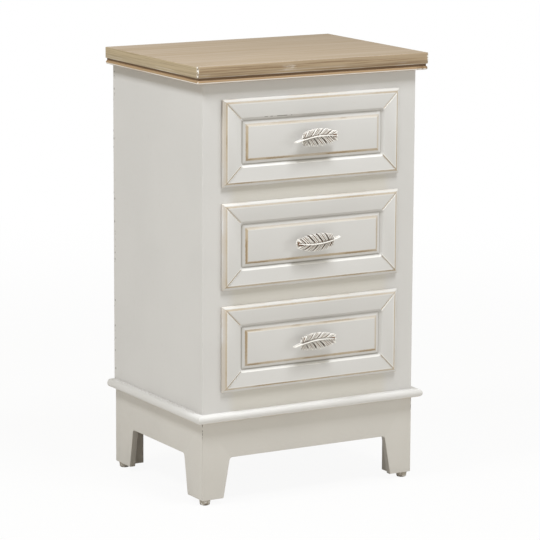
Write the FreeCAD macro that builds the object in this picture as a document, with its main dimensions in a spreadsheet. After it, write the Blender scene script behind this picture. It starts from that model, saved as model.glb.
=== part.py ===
import FreeCAD, Part

# A slim three-drawer nightstand of painted board, with an oak-look top.
# Frame: +X to the right, +Y to the back, +Z up, millimetres, origin on the floor
# under the middle of the whole chest, knobs included.

import math
import os

import Sketcher
from FreeCAD import Placement, Rotation, Vector

X_AXIS = Vector(1, 0, 0)
Y_AXIS = Vector(0, 1, 0)
Z_AXIS = Vector(0, 0, 1)

doc = FreeCAD.newDocument("nightstand")
sheet = doc.addObject("Spreadsheet::Sheet", "Sizes")
parts = []


class Size:
    """A size in millimetres, with the sheet expression that gives it."""

    def __init__(self, value, text):
        self.value = value
        self.text = text

    def __add__(self, other):
        other = as_size(other)
        return Size(self.value + other.value, f"({self.text} + {other.text})")

    def __sub__(self, other):
        other = as_size(other)
        return Size(self.value - other.value, f"({self.text} - {other.text})")

    def __mul__(self, other):
        other = as_size(other)
        return Size(self.value * other.value, f"({self.text} * {other.text})")

    def __truediv__(self, other):
        other = as_size(other)
        return Size(self.value / other.value, f"({self.text} / {other.text})")

    def __neg__(self):
        return self * -1

    def __radd__(self, other):
        return as_size(other) + self

    def __rsub__(self, other):
        return as_size(other) - self

    def __rmul__(self, other):
        return as_size(other) * self


def as_size(amount):
    """Take a plain number as a size, and leave a size as it is."""
    if isinstance(amount, Size):
        return amount
    return Size(float(amount), f"({float(amount):.9f})")


def size(name, value):
    """Write one driving dimension into the sheet, and give it back as a size."""
    row = size.rows + 1
    size.rows = row
    sheet.set(f"A{row}", name)
    sheet.set(f"B{row}", str(value))
    sheet.setAlias(f"B{row}", name)
    return Size(float(value), f"Sizes.{name}")


size.rows = 0

# Carcass: two sides, a bottom, a nailed-on back and a face frame
carcass_depth = size("carcass_depth", 282)
stile_width = size("stile_width", 39.7)
side_thickness = size("side_thickness", 15)
back_thickness = size("back_thickness", 4)
bottom_thickness = size("bottom_thickness", 12)
frame_thickness = size("frame_thickness", 18)
stretcher_width = size("stretcher_width", 60)
stretcher_thickness = size("stretcher_thickness", 12)

# Top: a board whose edge is routed with a groove over a half-round bead
top_thickness = size("top_thickness", 17)
top_side_overhang = size("top_side_overhang", 15)
top_front_overhang = size("top_front_overhang", 12)
top_arris = size("top_arris", 1.2)
groove_height = size("groove_height", 3)
groove_depth = size("groove_depth", 4.5)
bead_height = size("bead_height", 6)
bead_setback = size("bead_setback", 0.6)

# Base: four mitred aprons cut out to tapered legs, on turned glides
base_height = size("base_height", 126.5)
apron_thickness = size("apron_thickness", 10)
arch_height = size("arch_height", 61.8)
arch_fillet = size("arch_fillet", 4)
front_foot_width = size("front_foot_width", 37)
side_foot_width = size("side_foot_width", 46.5)
leg_taper = size("leg_taper", 11)
corner_block_width = size("corner_block_width", 22)
glide_height = size("glide_height", 8.5)
glide_diameter = size("glide_diameter", 17.5)
glide_taper = size("glide_taper", 1.5)
glide_inset = size("glide_inset", 10)
plinth_height = size("plinth_height", 12.5)
plinth_projection = size("plinth_projection", 13)

# Drawer fronts: a rebated board with a lip, a routed channel and a raised field
front_width = size("front_width", 306.6)
front_height = size("front_height", 130.4)
front_drop = size("front_drop", 25.9)
front_spacing = size("front_spacing", 24.8)
front_rise = size("front_rise", 37.3)
lip_overlap = size("lip_overlap", 8)
lip_thickness = size("lip_thickness", 7.2)
lip_gap = size("lip_gap", 0.3)
rebate_thickness = size("rebate_thickness", 8.8)
front_clearance = size("front_clearance", 1.5)
edge_bevel_width = size("edge_bevel_width", 6.5)
edge_bevel_depth = size("edge_bevel_depth", 3.2)
frame_flat = size("frame_flat", 21.6)
channel_depth = size("channel_depth", 4)
channel_cove = size("channel_cove", 4)
channel_floor = size("channel_floor", 0.8)
channel_slope = size("channel_slope", 7.8)
channel_corner = size("channel_corner", 6.5)
floor_corner = size("floor_corner", 4)
mitre_groove_depth = size("mitre_groove_depth", 1.4)

# Drawer boxes and the rails that they run on
box_rear_gap = size("box_rear_gap", 23.5)
box_top_gap = size("box_top_gap", 5.1)
box_wall = size("box_wall", 10)
box_bottom_thickness = size("box_bottom_thickness", 4)
box_bottom_rise = size("box_bottom_rise", 10)
box_groove_depth = size("box_groove_depth", 5)
groove_play = size("groove_play", 0.2)
runner_thickness = size("runner_thickness", 12)
runner_bearing = size("runner_bearing", 15)
guide_height = size("guide_height", 15)
runner_clearance = size("runner_clearance", 0.3)
kicker_thickness = size("kicker_thickness", 12)

# Knobs: a cast feather on a round stem
feather_length = size("feather_length", 76)
feather_width = size("feather_width", 27.5)
feather_rim = size("feather_rim", 2.2)
feather_crown = size("feather_crown", 3.3)
shaft_height = size("shaft_height", 2.5)
shaft_width = size("shaft_width", 3.6)
knob_stem_length = size("knob_stem_length", 11)
knob_stem_diameter = size("knob_stem_diameter", 13.5)

# Fasteners
screw_diameter = size("screw_diameter", 4)
screw_head_diameter = size("screw_head_diameter", 8)
screw_head_height = size("screw_head_height", 2.4)
screw_play = size("screw_play", 0.4)
screw_grip = size("screw_grip", 10)
block_screw_grip = size("block_screw_grip", 20)
counterbore_depth = size("counterbore_depth", 10)
top_screw_inset = size("top_screw_inset", 60)
block_screw_inset = size("block_screw_inset", 7)
runner_screw_inset = size("runner_screw_inset", 40)
nail_diameter = size("nail_diameter", 1.6)
nail_head_diameter = size("nail_head_diameter", 4)
nail_head_height = size("nail_head_height", 0.8)
nail_grip = size("nail_grip", 14)
nail_play = size("nail_play", 0.2)
nail_inset = size("nail_inset", 40)

# Sizes and places that several pieces share
levels = ("upper", "middle", "lower")
opening_width = front_width - lip_overlap * 2
opening_height = front_height - lip_overlap * 2
carcass_width = opening_width + stile_width * 2
drawer_pitch = front_height + front_spacing
carcass_height = front_drop + drawer_pitch * len(levels) - front_spacing + front_rise
knob_projection = knob_stem_length + feather_rim + feather_crown + shaft_height
lip_reach = lip_gap + lip_thickness
behind_face = carcass_depth + back_thickness + nail_head_height
face_y = (lip_reach + knob_projection - behind_face) / 2
inner_y = face_y + frame_thickness
rear_y = face_y + carcass_depth
inner_depth = carcass_depth - frame_thickness
base_z = glide_height
carcass_z = base_z + base_height
carcass_top = carcass_z + carcass_height
outer_x = carcass_width / 2
inner_x = outer_x - side_thickness
opening_x = opening_width / 2
rebate_width = opening_width - front_clearance * 2
rebate_height = opening_height - front_clearance * 2
box_x = rebate_width / 2
box_y = face_y - lip_gap + rebate_thickness
box_length = rear_y - box_y - box_rear_gap
box_height = opening_height - runner_clearance - box_top_gap
hole_diameter = screw_diameter + screw_play
head_hole_diameter = screw_head_diameter + screw_play * 2
nail_hole_diameter = nail_diameter + nail_play

# How far the outline of a cut runs past the piece that it cuts
CUT_MARGIN = 1

# The bead's edges are rounded by this share of its height, just short of a half round
BEAD_ROUNDING = 0.45

# Nails up each side of the back, and across its top and bottom
NAILS_UP = 5
NAILS_ACROSS = (-1, 0, 1)


def level_z(level):
    """Height of the middle of a drawer front."""
    return carcass_top - front_drop - front_height / 2 - drawer_pitch * level


def opening_floor(level):
    return level_z(level) - opening_height / 2


def opening_ceiling(level):
    return level_z(level) + opening_height / 2


def place(thing, x, y, z, rotation=None):
    """Put a sub-part at a place whose coordinates follow the sheet."""
    spot = [as_size(x), as_size(y), as_size(z)]
    turn = rotation or Rotation()
    thing.Placement = Placement(Vector(*[s.value for s in spot]), turn)
    for axis, amount in zip("xyz", spot):
        thing.setExpression(f"Placement.Base.{axis}", amount.text)


def keep(thing, label):
    """Name a finished sub-part and add it to the list that is written out."""
    thing.Label = label
    parts.append(thing)
    return thing


def new_body(label):
    body = doc.addObject("PartDesign::Body", label)
    return keep(body, label)


def plane_of(body, role):
    for feature in body.Origin.OriginFeatures:
        if feature.Role == role:
            return feature
    raise ValueError(role)


def new_sketch(body, role, offset=None):
    """Start a sketch on one of the body's own planes, or parallel to it."""
    sketch = body.newObject("Sketcher::SketchObject", "Profile")
    sketch.AttachmentSupport = [(plane_of(body, role), "")]
    sketch.MapMode = "FlatFace"
    if offset is not None:
        offset = as_size(offset)
        sketch.AttachmentOffset = Placement(Vector(0, 0, offset.value), Rotation())
        sketch.setExpression("AttachmentOffset.Base.z", offset.text)
    return sketch


def fix_point(sketch, geometry, end, x, y):
    """Hold a point of a sketch at coordinates that follow the sheet."""
    for kind, axis, amount in (("DistanceX", -2, x), ("DistanceY", -1, y)):
        if not isinstance(amount, Size) and amount == 0:
            sketch.addConstraint(Sketcher.Constraint("PointOnObject", geometry, end, axis))
            continue
        amount = as_size(amount)
        index = sketch.addConstraint(Sketcher.Constraint(kind, geometry, end, amount.value))
        name = f"{kind}{geometry}_{end}"
        sketch.renameConstraint(index, name)
        sketch.setExpression(f"Constraints.{name}", amount.text)


def number(amount):
    return as_size(amount).value


def draw(sketch, corners):
    """Close an outline. A corner is x, y and, where an arc follows it, the arc's
    centre and the way it turns: 1 is anticlockwise and -1 clockwise."""
    count = len(corners)
    ends = []
    for index, corner in enumerate(corners):
        follower = corners[(index + 1) % count]
        start = Vector(number(corner[0]), number(corner[1]), 0)
        stop = Vector(number(follower[0]), number(follower[1]), 0)
        if len(corner) == 2:
            geometry = sketch.addGeometry(Part.LineSegment(start, stop))
            ends.append((geometry, 1, 2))
            continue
        middle = Vector(number(corner[2][0]), number(corner[2][1]), 0)
        circle = Part.Circle(middle, Z_AXIS, (start - middle).Length)
        first, last = (start, stop) if corner[3] > 0 else (stop, start)
        begin = math.atan2(first.y - middle.y, first.x - middle.x)
        end = math.atan2(last.y - middle.y, last.x - middle.x)
        if end < begin:
            end += 2 * math.pi
        geometry = sketch.addGeometry(Part.ArcOfCircle(circle, begin, end))
        ends.append((geometry, 1, 2) if corner[3] > 0 else (geometry, 2, 1))
    for index, (geometry, start, stop) in enumerate(ends):
        follower, follower_start, _ = ends[(index + 1) % count]
        joint = Sketcher.Constraint("Coincident", geometry, stop, follower, follower_start)
        sketch.addConstraint(joint)
    for (geometry, start, stop), corner in zip(ends, corners):
        fix_point(sketch, geometry, start, corner[0], corner[1])
        if len(corner) > 2:
            middle = as_size(corner[2][0])
            held = Sketcher.Constraint("DistanceX", geometry, 3, middle.value)
            index = sketch.addConstraint(held)
            name = f"centre{geometry}"
            sketch.renameConstraint(index, name)
            sketch.setExpression(f"Constraints.{name}", middle.text)


def rectangle(x_low, y_low, x_high, y_high):
    return [(x_low, y_low), (x_high, y_low), (x_high, y_high), (x_low, y_high)]


def centred(width, height):
    return rectangle(-width / 2, -height / 2, width / 2, height / 2)


def rounded(width, height, radius):
    """Corners of a rectangle about the origin whose corners are arcs."""
    right = width / 2
    upper = height / 2
    right_in = right - radius
    upper_in = upper - radius
    return [
        (-right_in, -upper),
        (right_in, -upper, (right_in, -upper_in), 1),
        (right, -upper_in),
        (right, upper_in, (right_in, upper_in), 1),
        (right_in, upper),
        (-right_in, upper, (-right_in, upper_in), 1),
        (-right, upper_in),
        (-right, -upper_in, (-right_in, -upper_in), 1),
    ]


def draw_circles(sketch, centres, diameter):
    for x, y in centres:
        middle = Vector(number(x), number(y), 0)
        geometry = sketch.addGeometry(Part.Circle(middle, Z_AXIS, diameter.value / 2))
        fix_point(sketch, geometry, 3, x, y)
        held = Sketcher.Constraint("Diameter", geometry, diameter.value)
        index = sketch.addConstraint(held)
        name = f"diameter{geometry}"
        sketch.renameConstraint(index, name)
        sketch.setExpression(f"Constraints.{name}", diameter.text)


def extrude(body, kind, sketch, length, reverse):
    feature = body.newObject(f"PartDesign::{kind}", kind)
    feature.Profile = sketch
    feature.Length = length.value
    feature.setExpression("Length", length.text)
    feature.Reversed = reverse
    return feature


def pad(body, role, corners, length, offset=None, reverse=False):
    """Add material on an outline, along the plane's normal unless reversed."""
    sketch = new_sketch(body, role, offset)
    draw(sketch, corners)
    return extrude(body, "Pad", sketch, as_size(length), reverse)


def pocket(body, role, corners, length, offset=None, reverse=False):
    """Cut an outline away, against the plane's normal unless reversed."""
    sketch = new_sketch(body, role, offset)
    draw(sketch, corners)
    return extrude(body, "Pocket", sketch, as_size(length), reverse)


def drill(body, role, centres, diameter, depth, offset=None, reverse=False):
    """Drill round holes, against the plane's normal unless reversed."""
    sketch = new_sketch(body, role, offset)
    draw_circles(sketch, centres, diameter)
    return extrude(body, "Pocket", sketch, as_size(depth), reverse)


def loft(body, kind, role, sections):
    """Join two outlines on parallel planes with straight-ruled faces."""
    sketches = []
    for corners, offset in sections:
        sketch = new_sketch(body, role, offset)
        draw(sketch, corners)
        sketches.append(sketch)
    feature = body.newObject(f"PartDesign::{kind}", kind)
    feature.Profile = sketches[0]
    feature.Sections = sketches[1:]
    feature.Ruled = True
    return feature


def fillet(body, feature, chosen, radius):
    """Round the edges of a feature that the test picks."""
    doc.recompute()
    names = []
    for index, edge in enumerate(feature.Shape.Edges):
        if chosen(edge.BoundBox):
            names.append(f"Edge{index + 1}")
    if not names:
        raise ValueError(f"{body.Label} has no edge to round")
    radius = as_size(radius)
    rounding = body.newObject("PartDesign::Fillet", "Fillet")
    rounding.Base = (feature, names)
    rounding.Radius = radius.value
    rounding.setExpression("Radius", radius.text)
    return rounding


def near(first, second):
    return abs(first - number(second)) < 0.001


def board(label, corner, extent):
    """A plain sawn board, from its lowest corner and its size."""
    body = new_body(label)
    pad(body, "XY_Plane", rectangle(0, 0, extent[0], extent[1]), extent[2])
    place(body, *corner)
    return body


def make_top():
    """The top lies on the carcass, flush with the rear edges of the sides."""
    body = new_body("top_board")
    half = outer_x + top_side_overhang
    depth = carcass_depth + top_front_overhang
    layer = bead_height + groove_height
    bead_half = half - bead_setback
    bead_front = bead_setback - depth
    outline = rectangle(-bead_half, bead_front, bead_half, 0)
    bead = pad(body, "XY_Plane", outline, bead_height)

    def bead_edge(box):
        return near(box.ZLength, 0) and not near(box.YMin, 0)

    fillet(body, bead, bead_edge, bead_height * BEAD_ROUNDING)
    core_half = half - groove_depth
    core = rectangle(-core_half, groove_depth - depth, core_half, 0)
    pad(body, "XY_Plane", core, layer)
    slab_outline = rectangle(-half, -depth, half, 0)
    slab = pad(body, "XY_Plane", slab_outline, top_thickness, offset=layer)

    def slab_edge(box):
        at_side = near(abs(box.XMin), half) and near(box.XLength, 0)
        at_front = near(box.YMax, -depth)
        at_back = near(box.YMin, 0) and near(box.ZMin, layer + top_thickness)
        return box.ZMin > number(layer) - 0.001 and (at_side or at_front or at_back)

    fillet(body, slab, slab_edge, top_arris)
    middle_to_rear = rear_y - inner_y
    holes = []
    for x in (-screw_x, screw_x):
        holes.append((x, stretcher_width / 2 - middle_to_rear))
        holes.append((x, -stretcher_width / 2))
    drill(body, "XY_Plane", holes, hole_diameter, top_grip + screw_play, reverse=True)
    place(body, 0, rear_y, carcass_top)


screw_x = inner_x - top_screw_inset
top_grip = bead_height + screw_grip


def runner_screw_depths():
    """How far behind the face frame the two screws of a runner are."""
    return (runner_screw_inset, inner_depth - runner_screw_inset)


def drawer_screw_places(level):
    """Depth behind the face frame and height of the screws of a runner."""
    height = opening_floor(level) + guide_height / 2 - carcass_z
    return [(depth, height) for depth in runner_screw_depths()]


def nail_heights():
    """Heights of the nails up each side of the back, from the carcass floor."""
    spacing = (carcass_height - nail_inset * 2) / (NAILS_UP - 1)
    return [nail_inset + spacing * step for step in range(NAILS_UP)]


def nail_offsets():
    """Places of the nails across the back, from its middle."""
    return [(inner_x - nail_inset) * step for step in NAILS_ACROSS]


def make_side(label, side):
    """A side panel stands behind the face frame; side is -1 left and 1 right."""
    body = new_body(label)
    left = side < 0
    outline = rectangle(0, 0, inner_depth, carcass_height)
    pad(body, "YZ_Plane", outline, side_thickness, reverse=not left)
    centres = []
    for level in range(len(levels)):
        centres += drawer_screw_places(level)
    inner_face = side_thickness * -side
    depth = screw_grip + screw_play
    drill(body, "YZ_Plane", centres, hole_diameter, depth, inner_face, reverse=not left)
    nails = [(side_thickness * -side / 2, height) for height in nail_heights()]
    depth = nail_grip + nail_play
    drill(body, "XZ_Plane", nails, nail_hole_diameter, depth, -inner_depth, reverse=True)
    place(body, outer_x * side, inner_y, carcass_z)


def make_back():
    """The back is nailed over the rear edges of the carcass."""
    body = new_body("back_panel")
    outline = rectangle(-outer_x, 0, outer_x, carcass_height)
    pad(body, "XZ_Plane", outline, back_thickness, reverse=True)
    centres = back_nail_places()
    drill(body, "XZ_Plane", centres, nail_hole_diameter, back_thickness)
    place(body, 0, rear_y, carcass_z)


def back_nail_places():
    """Where the nails go through the back, across and up from its lower middle."""
    side_middle = outer_x - side_thickness / 2
    centres = []
    for height in nail_heights():
        centres.append((-side_middle, height))
        centres.append((side_middle, height))
    for across in nail_offsets():
        centres.append((across, bottom_thickness / 2))
        centres.append((across, carcass_height - stretcher_thickness / 2))
    return centres


def nail_edge(body, extent):
    """Drill a board's rear edge for the nails across the back."""
    width, depth, thickness = extent
    centres = [(width / 2 + across, thickness / 2) for across in nail_offsets()]
    hole = nail_grip + nail_play
    drill(body, "XZ_Plane", centres, nail_hole_diameter, hole, -depth, reverse=True)


def make_bottom():
    """The bottom lies between the sides, on the corner blocks of the base."""
    extent = (inner_x * 2, inner_depth, bottom_thickness)
    body = board("bottom_board", (-inner_x, inner_y, carcass_z), extent)
    centres = []
    for x in (-block_screw_x, block_screw_x):
        for y in (block_screw_front, block_screw_rear):
            centres.append((x + inner_x, y - inner_y))
    drill(body, "XY_Plane", centres, hole_diameter, bottom_thickness, reverse=True)
    nail_edge(body, extent)


block_inner = apron_thickness + corner_block_width
block_screw_x = outer_x - block_inner + block_screw_inset
block_screw_front = face_y + block_inner - block_screw_inset
block_screw_rear = rear_y - block_inner + block_screw_inset


def make_face_frame():
    """Stiles run the full height of the carcass, and the rails fit between them."""
    extent = (stile_width, frame_thickness, carcass_height)
    board("face_stile_left", (-outer_x, face_y, carcass_z), extent)
    board("face_stile_right", (opening_x, face_y, carcass_z), extent)
    rails = (
        ("face_rail_top", opening_ceiling(0), carcass_top),
        ("face_rail_upper", opening_ceiling(1), opening_floor(0)),
        ("face_rail_lower", opening_ceiling(2), opening_floor(1)),
        ("face_rail_bottom", carcass_z, opening_floor(2)),
    )
    for label, low, high in rails:
        extent = (opening_width, frame_thickness, high - low)
        board(label, (-opening_x, face_y, low), extent)


def make_stretchers():
    """Two boards across the top of the carcass, which the top is screwed to."""
    z = carcass_top - stretcher_thickness
    extent = (inner_x * 2, stretcher_width, stretcher_thickness)
    holes = [(inner_x - screw_x, stretcher_width / 2), (inner_x + screw_x, stretcher_width / 2)]
    for label, y in (("top_stretcher_front", inner_y), ("top_stretcher_rear", rear_y - stretcher_width)):
        body = board(label, (-inner_x, y, z), extent)
        drill(body, "XY_Plane", holes, hole_diameter, stretcher_thickness, reverse=True)
        if label == "top_stretcher_rear":
            nail_edge(body, extent)


def make_runner(level, name, side):
    """A rebated runner: its ledge carries the drawer's side, its guide keeps it straight."""
    body = new_body(f"{levels[level]}_runner_{name}")
    ledge = opening_x - runner_bearing
    section = [
        (ledge * side, -runner_thickness),
        (inner_x * side, -runner_thickness),
        (inner_x * side, guide_height),
        (opening_x * side, guide_height),
        (opening_x * side, 0),
        (ledge * side, 0),
    ]
    pad(body, "XZ_Plane", section, inner_depth, reverse=True)
    centres = [(depth, guide_height / 2) for depth in runner_screw_depths()]
    outward = side > 0
    face = opening_x * side
    drill(body, "YZ_Plane", centres, head_hole_diameter, counterbore_depth, face, reverse=outward)
    guide_width = inner_x - opening_x
    drill(body, "YZ_Plane", centres, hole_diameter, guide_width, face, reverse=outward)
    place(body, 0, inner_y, opening_floor(level))


def make_kickers(name, side):
    """Three strips above the box sides stop the drawers from tipping down."""
    strips = []
    width = inner_x - opening_x + runner_bearing
    for level in range(len(levels)):
        strip = doc.addObject("Part::Box", "kicker")
        for prop, amount in (("Length", width), ("Width", inner_depth), ("Height", kicker_thickness)):
            strip.setExpression(prop, amount.text)
        x = -inner_x if side < 0 else inner_x - width
        place(strip, x, inner_y, opening_ceiling(level))
        strips.append(strip)
    group(f"drawer_kickers_{name}", strips)


def group(label, members):
    compound = doc.addObject("Part::Compound", label)
    compound.Links = members
    return keep(compound, label)


def make_apron(label, length, foot_width, x, y, turn):
    """One side of the base: its lower edge is cut out between two tapered legs."""
    body = new_body(label)
    half = length / 2
    foot = half - foot_width
    arch = foot - leg_taper
    outline = [
        (-half, 0),
        (-foot, 0),
        (-arch, arch_height),
        (arch, arch_height),
        (foot, 0),
        (half, 0),
        (half, base_height),
        (-half, base_height),
    ]
    blank = pad(body, "XZ_Plane", outline, apron_thickness, reverse=True)

    def arch_corner(box):
        return near(box.YLength, apron_thickness) and near(box.ZMin, arch_height)

    fillet(body, blank, arch_corner, arch_fillet)
    inside = apron_thickness + CUT_MARGIN
    for end in (-1, 1):
        corner = half + CUT_MARGIN
        triangle = [
            ((half - inside) * end, inside),
            (corner * end, inside),
            (corner * end, -CUT_MARGIN),
        ]
        pocket(body, "XY_Plane", triangle, base_height, reverse=True)
    place(body, x, y, base_z, Rotation(Z_AXIS, turn))


def make_base():
    middle_y = face_y + carcass_depth / 2
    make_apron("apron_front", carcass_width, front_foot_width, 0, face_y, 0)
    make_apron("apron_rear", carcass_width, front_foot_width, 0, rear_y, 180)
    make_apron("apron_right", carcass_depth, side_foot_width, outer_x, middle_y, 90)
    make_apron("apron_left", carcass_depth, side_foot_width, -outer_x, middle_y, -90)
    inset = outer_x - apron_thickness
    near_x = inset - corner_block_width
    rear_block = rear_y - apron_thickness - corner_block_width
    extent = (corner_block_width, corner_block_width, base_height)
    depth = block_screw_grip + screw_play
    for name, x, screw in (("left", -inset, -block_screw_x), ("right", near_x, block_screw_x)):
        for row, y, screw_y in (
            ("front", face_y + apron_thickness, block_screw_front),
            ("rear", rear_block, block_screw_rear),
        ):
            body = board(f"corner_block_{row}_{name}", (x, y, base_z), extent)
            hole = [(screw - x, screw_y - y)]
            drill(body, "XY_Plane", hole, hole_diameter, depth, base_height)


def make_plinth(label, start, stop, mitred, x, y, turn):
    """A half-round moulding over the joint of carcass and base."""
    body = new_body(label)
    radius = plinth_height / 2
    flat = radius - plinth_projection
    section = [
        (0, 0),
        (flat, 0, (flat, radius), -1),
        (flat, plinth_height),
        (0, plinth_height),
    ]
    low = start - plinth_projection if -1 in mitred else start
    high = stop + plinth_projection if 1 in mitred else stop
    pad(body, "YZ_Plane", section, high - low, offset=low)
    reach = plinth_projection + CUT_MARGIN
    for end in mitred:
        corner = stop if end > 0 else start
        triangle = [
            (corner - CUT_MARGIN * end, CUT_MARGIN),
            (corner + reach * end, -reach),
            (corner + reach * end, CUT_MARGIN),
        ]
        pocket(body, "XY_Plane", triangle, plinth_height, reverse=True)
    place(body, x, y, carcass_z - plinth_height / 2, Rotation(Z_AXIS, turn))


def make_plinths():
    depth = carcass_depth + back_thickness
    make_plinth("plinth_moulding_front", -outer_x, outer_x, (-1, 1), 0, face_y, 0)
    make_plinth("plinth_moulding_right", as_size(0), depth, (-1,), outer_x, face_y, 90)
    make_plinth("plinth_moulding_left", -depth, as_size(0), (1,), -outer_x, face_y, -90)


def make_glides():
    """Four turned pads under the corners, slightly narrower at the floor."""
    pads = []
    for x in (glide_inset - outer_x, outer_x - glide_inset):
        for y in (face_y + glide_inset, rear_y - glide_inset):
            cone = doc.addObject("Part::Cone", "glide_pad")
            cone.setExpression("Radius1", (glide_diameter / 2 - glide_taper).text)
            cone.setExpression("Radius2", (glide_diameter / 2).text)
            cone.setExpression("Height", glide_height.text)
            place(cone, x, y, 0)
            pads.append(cone)
    group("foot_glides", pads)


def pin(diameter, length, head_diameter, head_height):
    """A round-headed screw or nail along Z, with its head below z = 0."""
    shank = doc.addObject("Part::Cylinder", "shank")
    shank.setExpression("Radius", (diameter / 2).text)
    shank.setExpression("Height", length.text)
    head = doc.addObject("Part::Cylinder", "head")
    head.setExpression("Radius", (head_diameter / 2).text)
    head.setExpression("Height", head_height.text)
    place(head, 0, 0, -head_height)
    whole = doc.addObject("Part::Fuse", "fastener")
    whole.Base = shank
    whole.Tool = head
    return whole


def screw(length):
    return pin(screw_diameter, length, screw_head_diameter, screw_head_height)


def make_screws():
    upward = []
    for x in (-screw_x, screw_x):
        for y in (inner_y + stretcher_width / 2, rear_y - stretcher_width / 2):
            one = screw(stretcher_thickness + top_grip)
            place(one, x, y, carcass_top - stretcher_thickness)
            upward.append(one)
    group("top_screws", upward)
    downward = []
    for x in (-block_screw_x, block_screw_x):
        for y in (block_screw_front, block_screw_rear):
            one = screw(bottom_thickness + block_screw_grip)
            place(one, x, y, carcass_z + bottom_thickness, Rotation(X_AXIS, 180))
            downward.append(one)
    group("base_screws", downward)
    sideways = []
    guide_width = inner_x - opening_x
    for side in (-1, 1):
        for level in range(len(levels)):
            for depth, height in drawer_screw_places(level):
                one = screw(guide_width - counterbore_depth + screw_grip)
                x = (opening_x + counterbore_depth) * side
                place(one, x, inner_y + depth, carcass_z + height, Rotation(Y_AXIS, 90 * side))
                sideways.append(one)
    group("runner_screws", sideways)


def make_nails():
    nails = []
    for across, height in back_nail_places():
        one = pin(nail_diameter, back_thickness + nail_grip, nail_head_diameter, nail_head_height)
        place(one, across, rear_y + back_thickness, carcass_z + height, Rotation(X_AXIS, 90))
        nails.append(one)
    group("back_nails", nails)


def make_drawer_front(label, z):
    """The front's origin is the middle of the rear face of its lip."""
    body = doc.addObject("PartDesign::Body", label + "_blank")
    square_edge = lip_thickness - edge_bevel_depth
    pad(body, "XZ_Plane", centred(front_width, front_height), square_edge)
    face_width = front_width - edge_bevel_width * 2
    face_height = front_height - edge_bevel_width * 2
    loft(body, "AdditiveLoft", "XZ_Plane", (
        (centred(front_width, front_height), square_edge),
        (centred(face_width, face_height), lip_thickness),
    ))
    recess_width = face_width - frame_flat * 2
    recess_height = face_height - frame_flat * 2
    floor_width = recess_width - channel_cove * 2
    floor_height = recess_height - channel_cove * 2
    floor_y = lip_thickness - channel_depth
    loft(body, "SubtractiveLoft", "XZ_Plane", (
        (rounded(recess_width, recess_height, channel_corner), lip_thickness),
        (rounded(floor_width, floor_height, floor_corner), floor_y),
    ))
    slope_width = floor_width - channel_floor * 2
    slope_height = floor_height - channel_floor * 2
    field_width = slope_width - channel_slope * 2
    field_height = slope_height - channel_slope * 2
    loft(body, "AdditiveLoft", "XZ_Plane", (
        (centred(slope_width, slope_height), floor_y),
        (centred(field_width, field_height), lip_thickness),
    ))
    pad(body, "XZ_Plane", centred(rebate_width, rebate_height), rebate_thickness, reverse=True)
    low = box_bottom_low - rebate_height / 2
    high = low + box_bottom_thickness + groove_play
    half = rebate_width / 2 - box_wall + box_groove_depth
    slot = rectangle(-half, low, half, high)
    pocket(body, "XZ_Plane", slot, box_groove_depth, offset=-rebate_thickness, reverse=True)
    whole = rebate_thickness + lip_thickness
    drill(body, "XZ_Plane", [(0, 0)], hole_diameter, whole, offset=lip_thickness)
    cutters = [mitre_groove(x_side, z_side) for x_side in (-1, 1) for z_side in (-1, 1)]
    grooves = doc.addObject("Part::Compound", "mitre_grooves")
    grooves.Links = cutters
    cut = doc.addObject("Part::Cut", label)
    cut.Base = body
    cut.Tool = grooves
    place(cut, 0, face_y - lip_gap, z)
    return keep(cut, label)


def mitre_groove(x_side, z_side):
    """A square bar on edge, which cuts a V along a mitre of the front's frame."""
    bar = doc.addObject("Part::Box", "groove_bar")
    width = mitre_groove_depth * math.sqrt(2)
    inner = edge_bevel_width + frame_flat + channel_corner * (1 - math.sqrt(0.5))
    outer = edge_bevel_width / 2
    length = (inner - outer) * math.sqrt(2)
    bar.setExpression("Length", length.text)
    bar.setExpression("Width", width.text)
    bar.setExpression("Height", width.text)
    heading = math.degrees(math.atan2(-z_side, -x_side))
    turn = Rotation(Y_AXIS, -heading).multiply(Rotation(X_AXIS, 45))
    to_middle = turn.multVec(Vector(0, 0.5, 0.5))
    x = (front_width / 2 - outer) * x_side - width * to_middle.x
    y = -lip_thickness - width * to_middle.y
    z = (front_height / 2 - outer) * z_side - width * to_middle.z
    place(bar, x, y, z, turn)
    return bar


# Height of a drawer's bottom panel above the lower edge of its front's rebate
box_bottom_low = runner_clearance - front_clearance + box_bottom_rise


def make_box(prefix, level):
    """Two sides, a back and a bottom panel behind a drawer front."""
    low = opening_floor(level) + runner_clearance
    groove_high = box_bottom_rise + box_bottom_thickness + groove_play
    for name, side in (("left", -1), ("right", 1)):
        body = new_body(f"{prefix}_side_{name}")
        left = side < 0
        wall = rectangle(0, 0, box_length, box_height)
        pad(body, "YZ_Plane", wall, box_wall, reverse=not left)
        slot = rectangle(0, box_bottom_rise, box_length, groove_high)
        inner = box_wall * -side
        pocket(body, "YZ_Plane", slot, box_groove_depth, inner, reverse=not left)
        place(body, box_x * side, box_y, low)
    inner_half = box_x - box_wall
    back_low = box_bottom_rise + box_bottom_thickness
    extent = (inner_half * 2, box_wall, box_height - back_low)
    back_y = box_y + box_length - box_wall
    board(f"{prefix}_back", (-inner_half, back_y, low + back_low), extent)
    panel_half = inner_half + box_groove_depth - groove_play
    depth = box_length + box_groove_depth - groove_play
    extent = (panel_half * 2, depth, box_bottom_thickness)
    panel_y = box_y - box_groove_depth + groove_play
    board(f"{prefix}_bottom", (-panel_half, panel_y, low + box_bottom_rise), extent)


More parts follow.
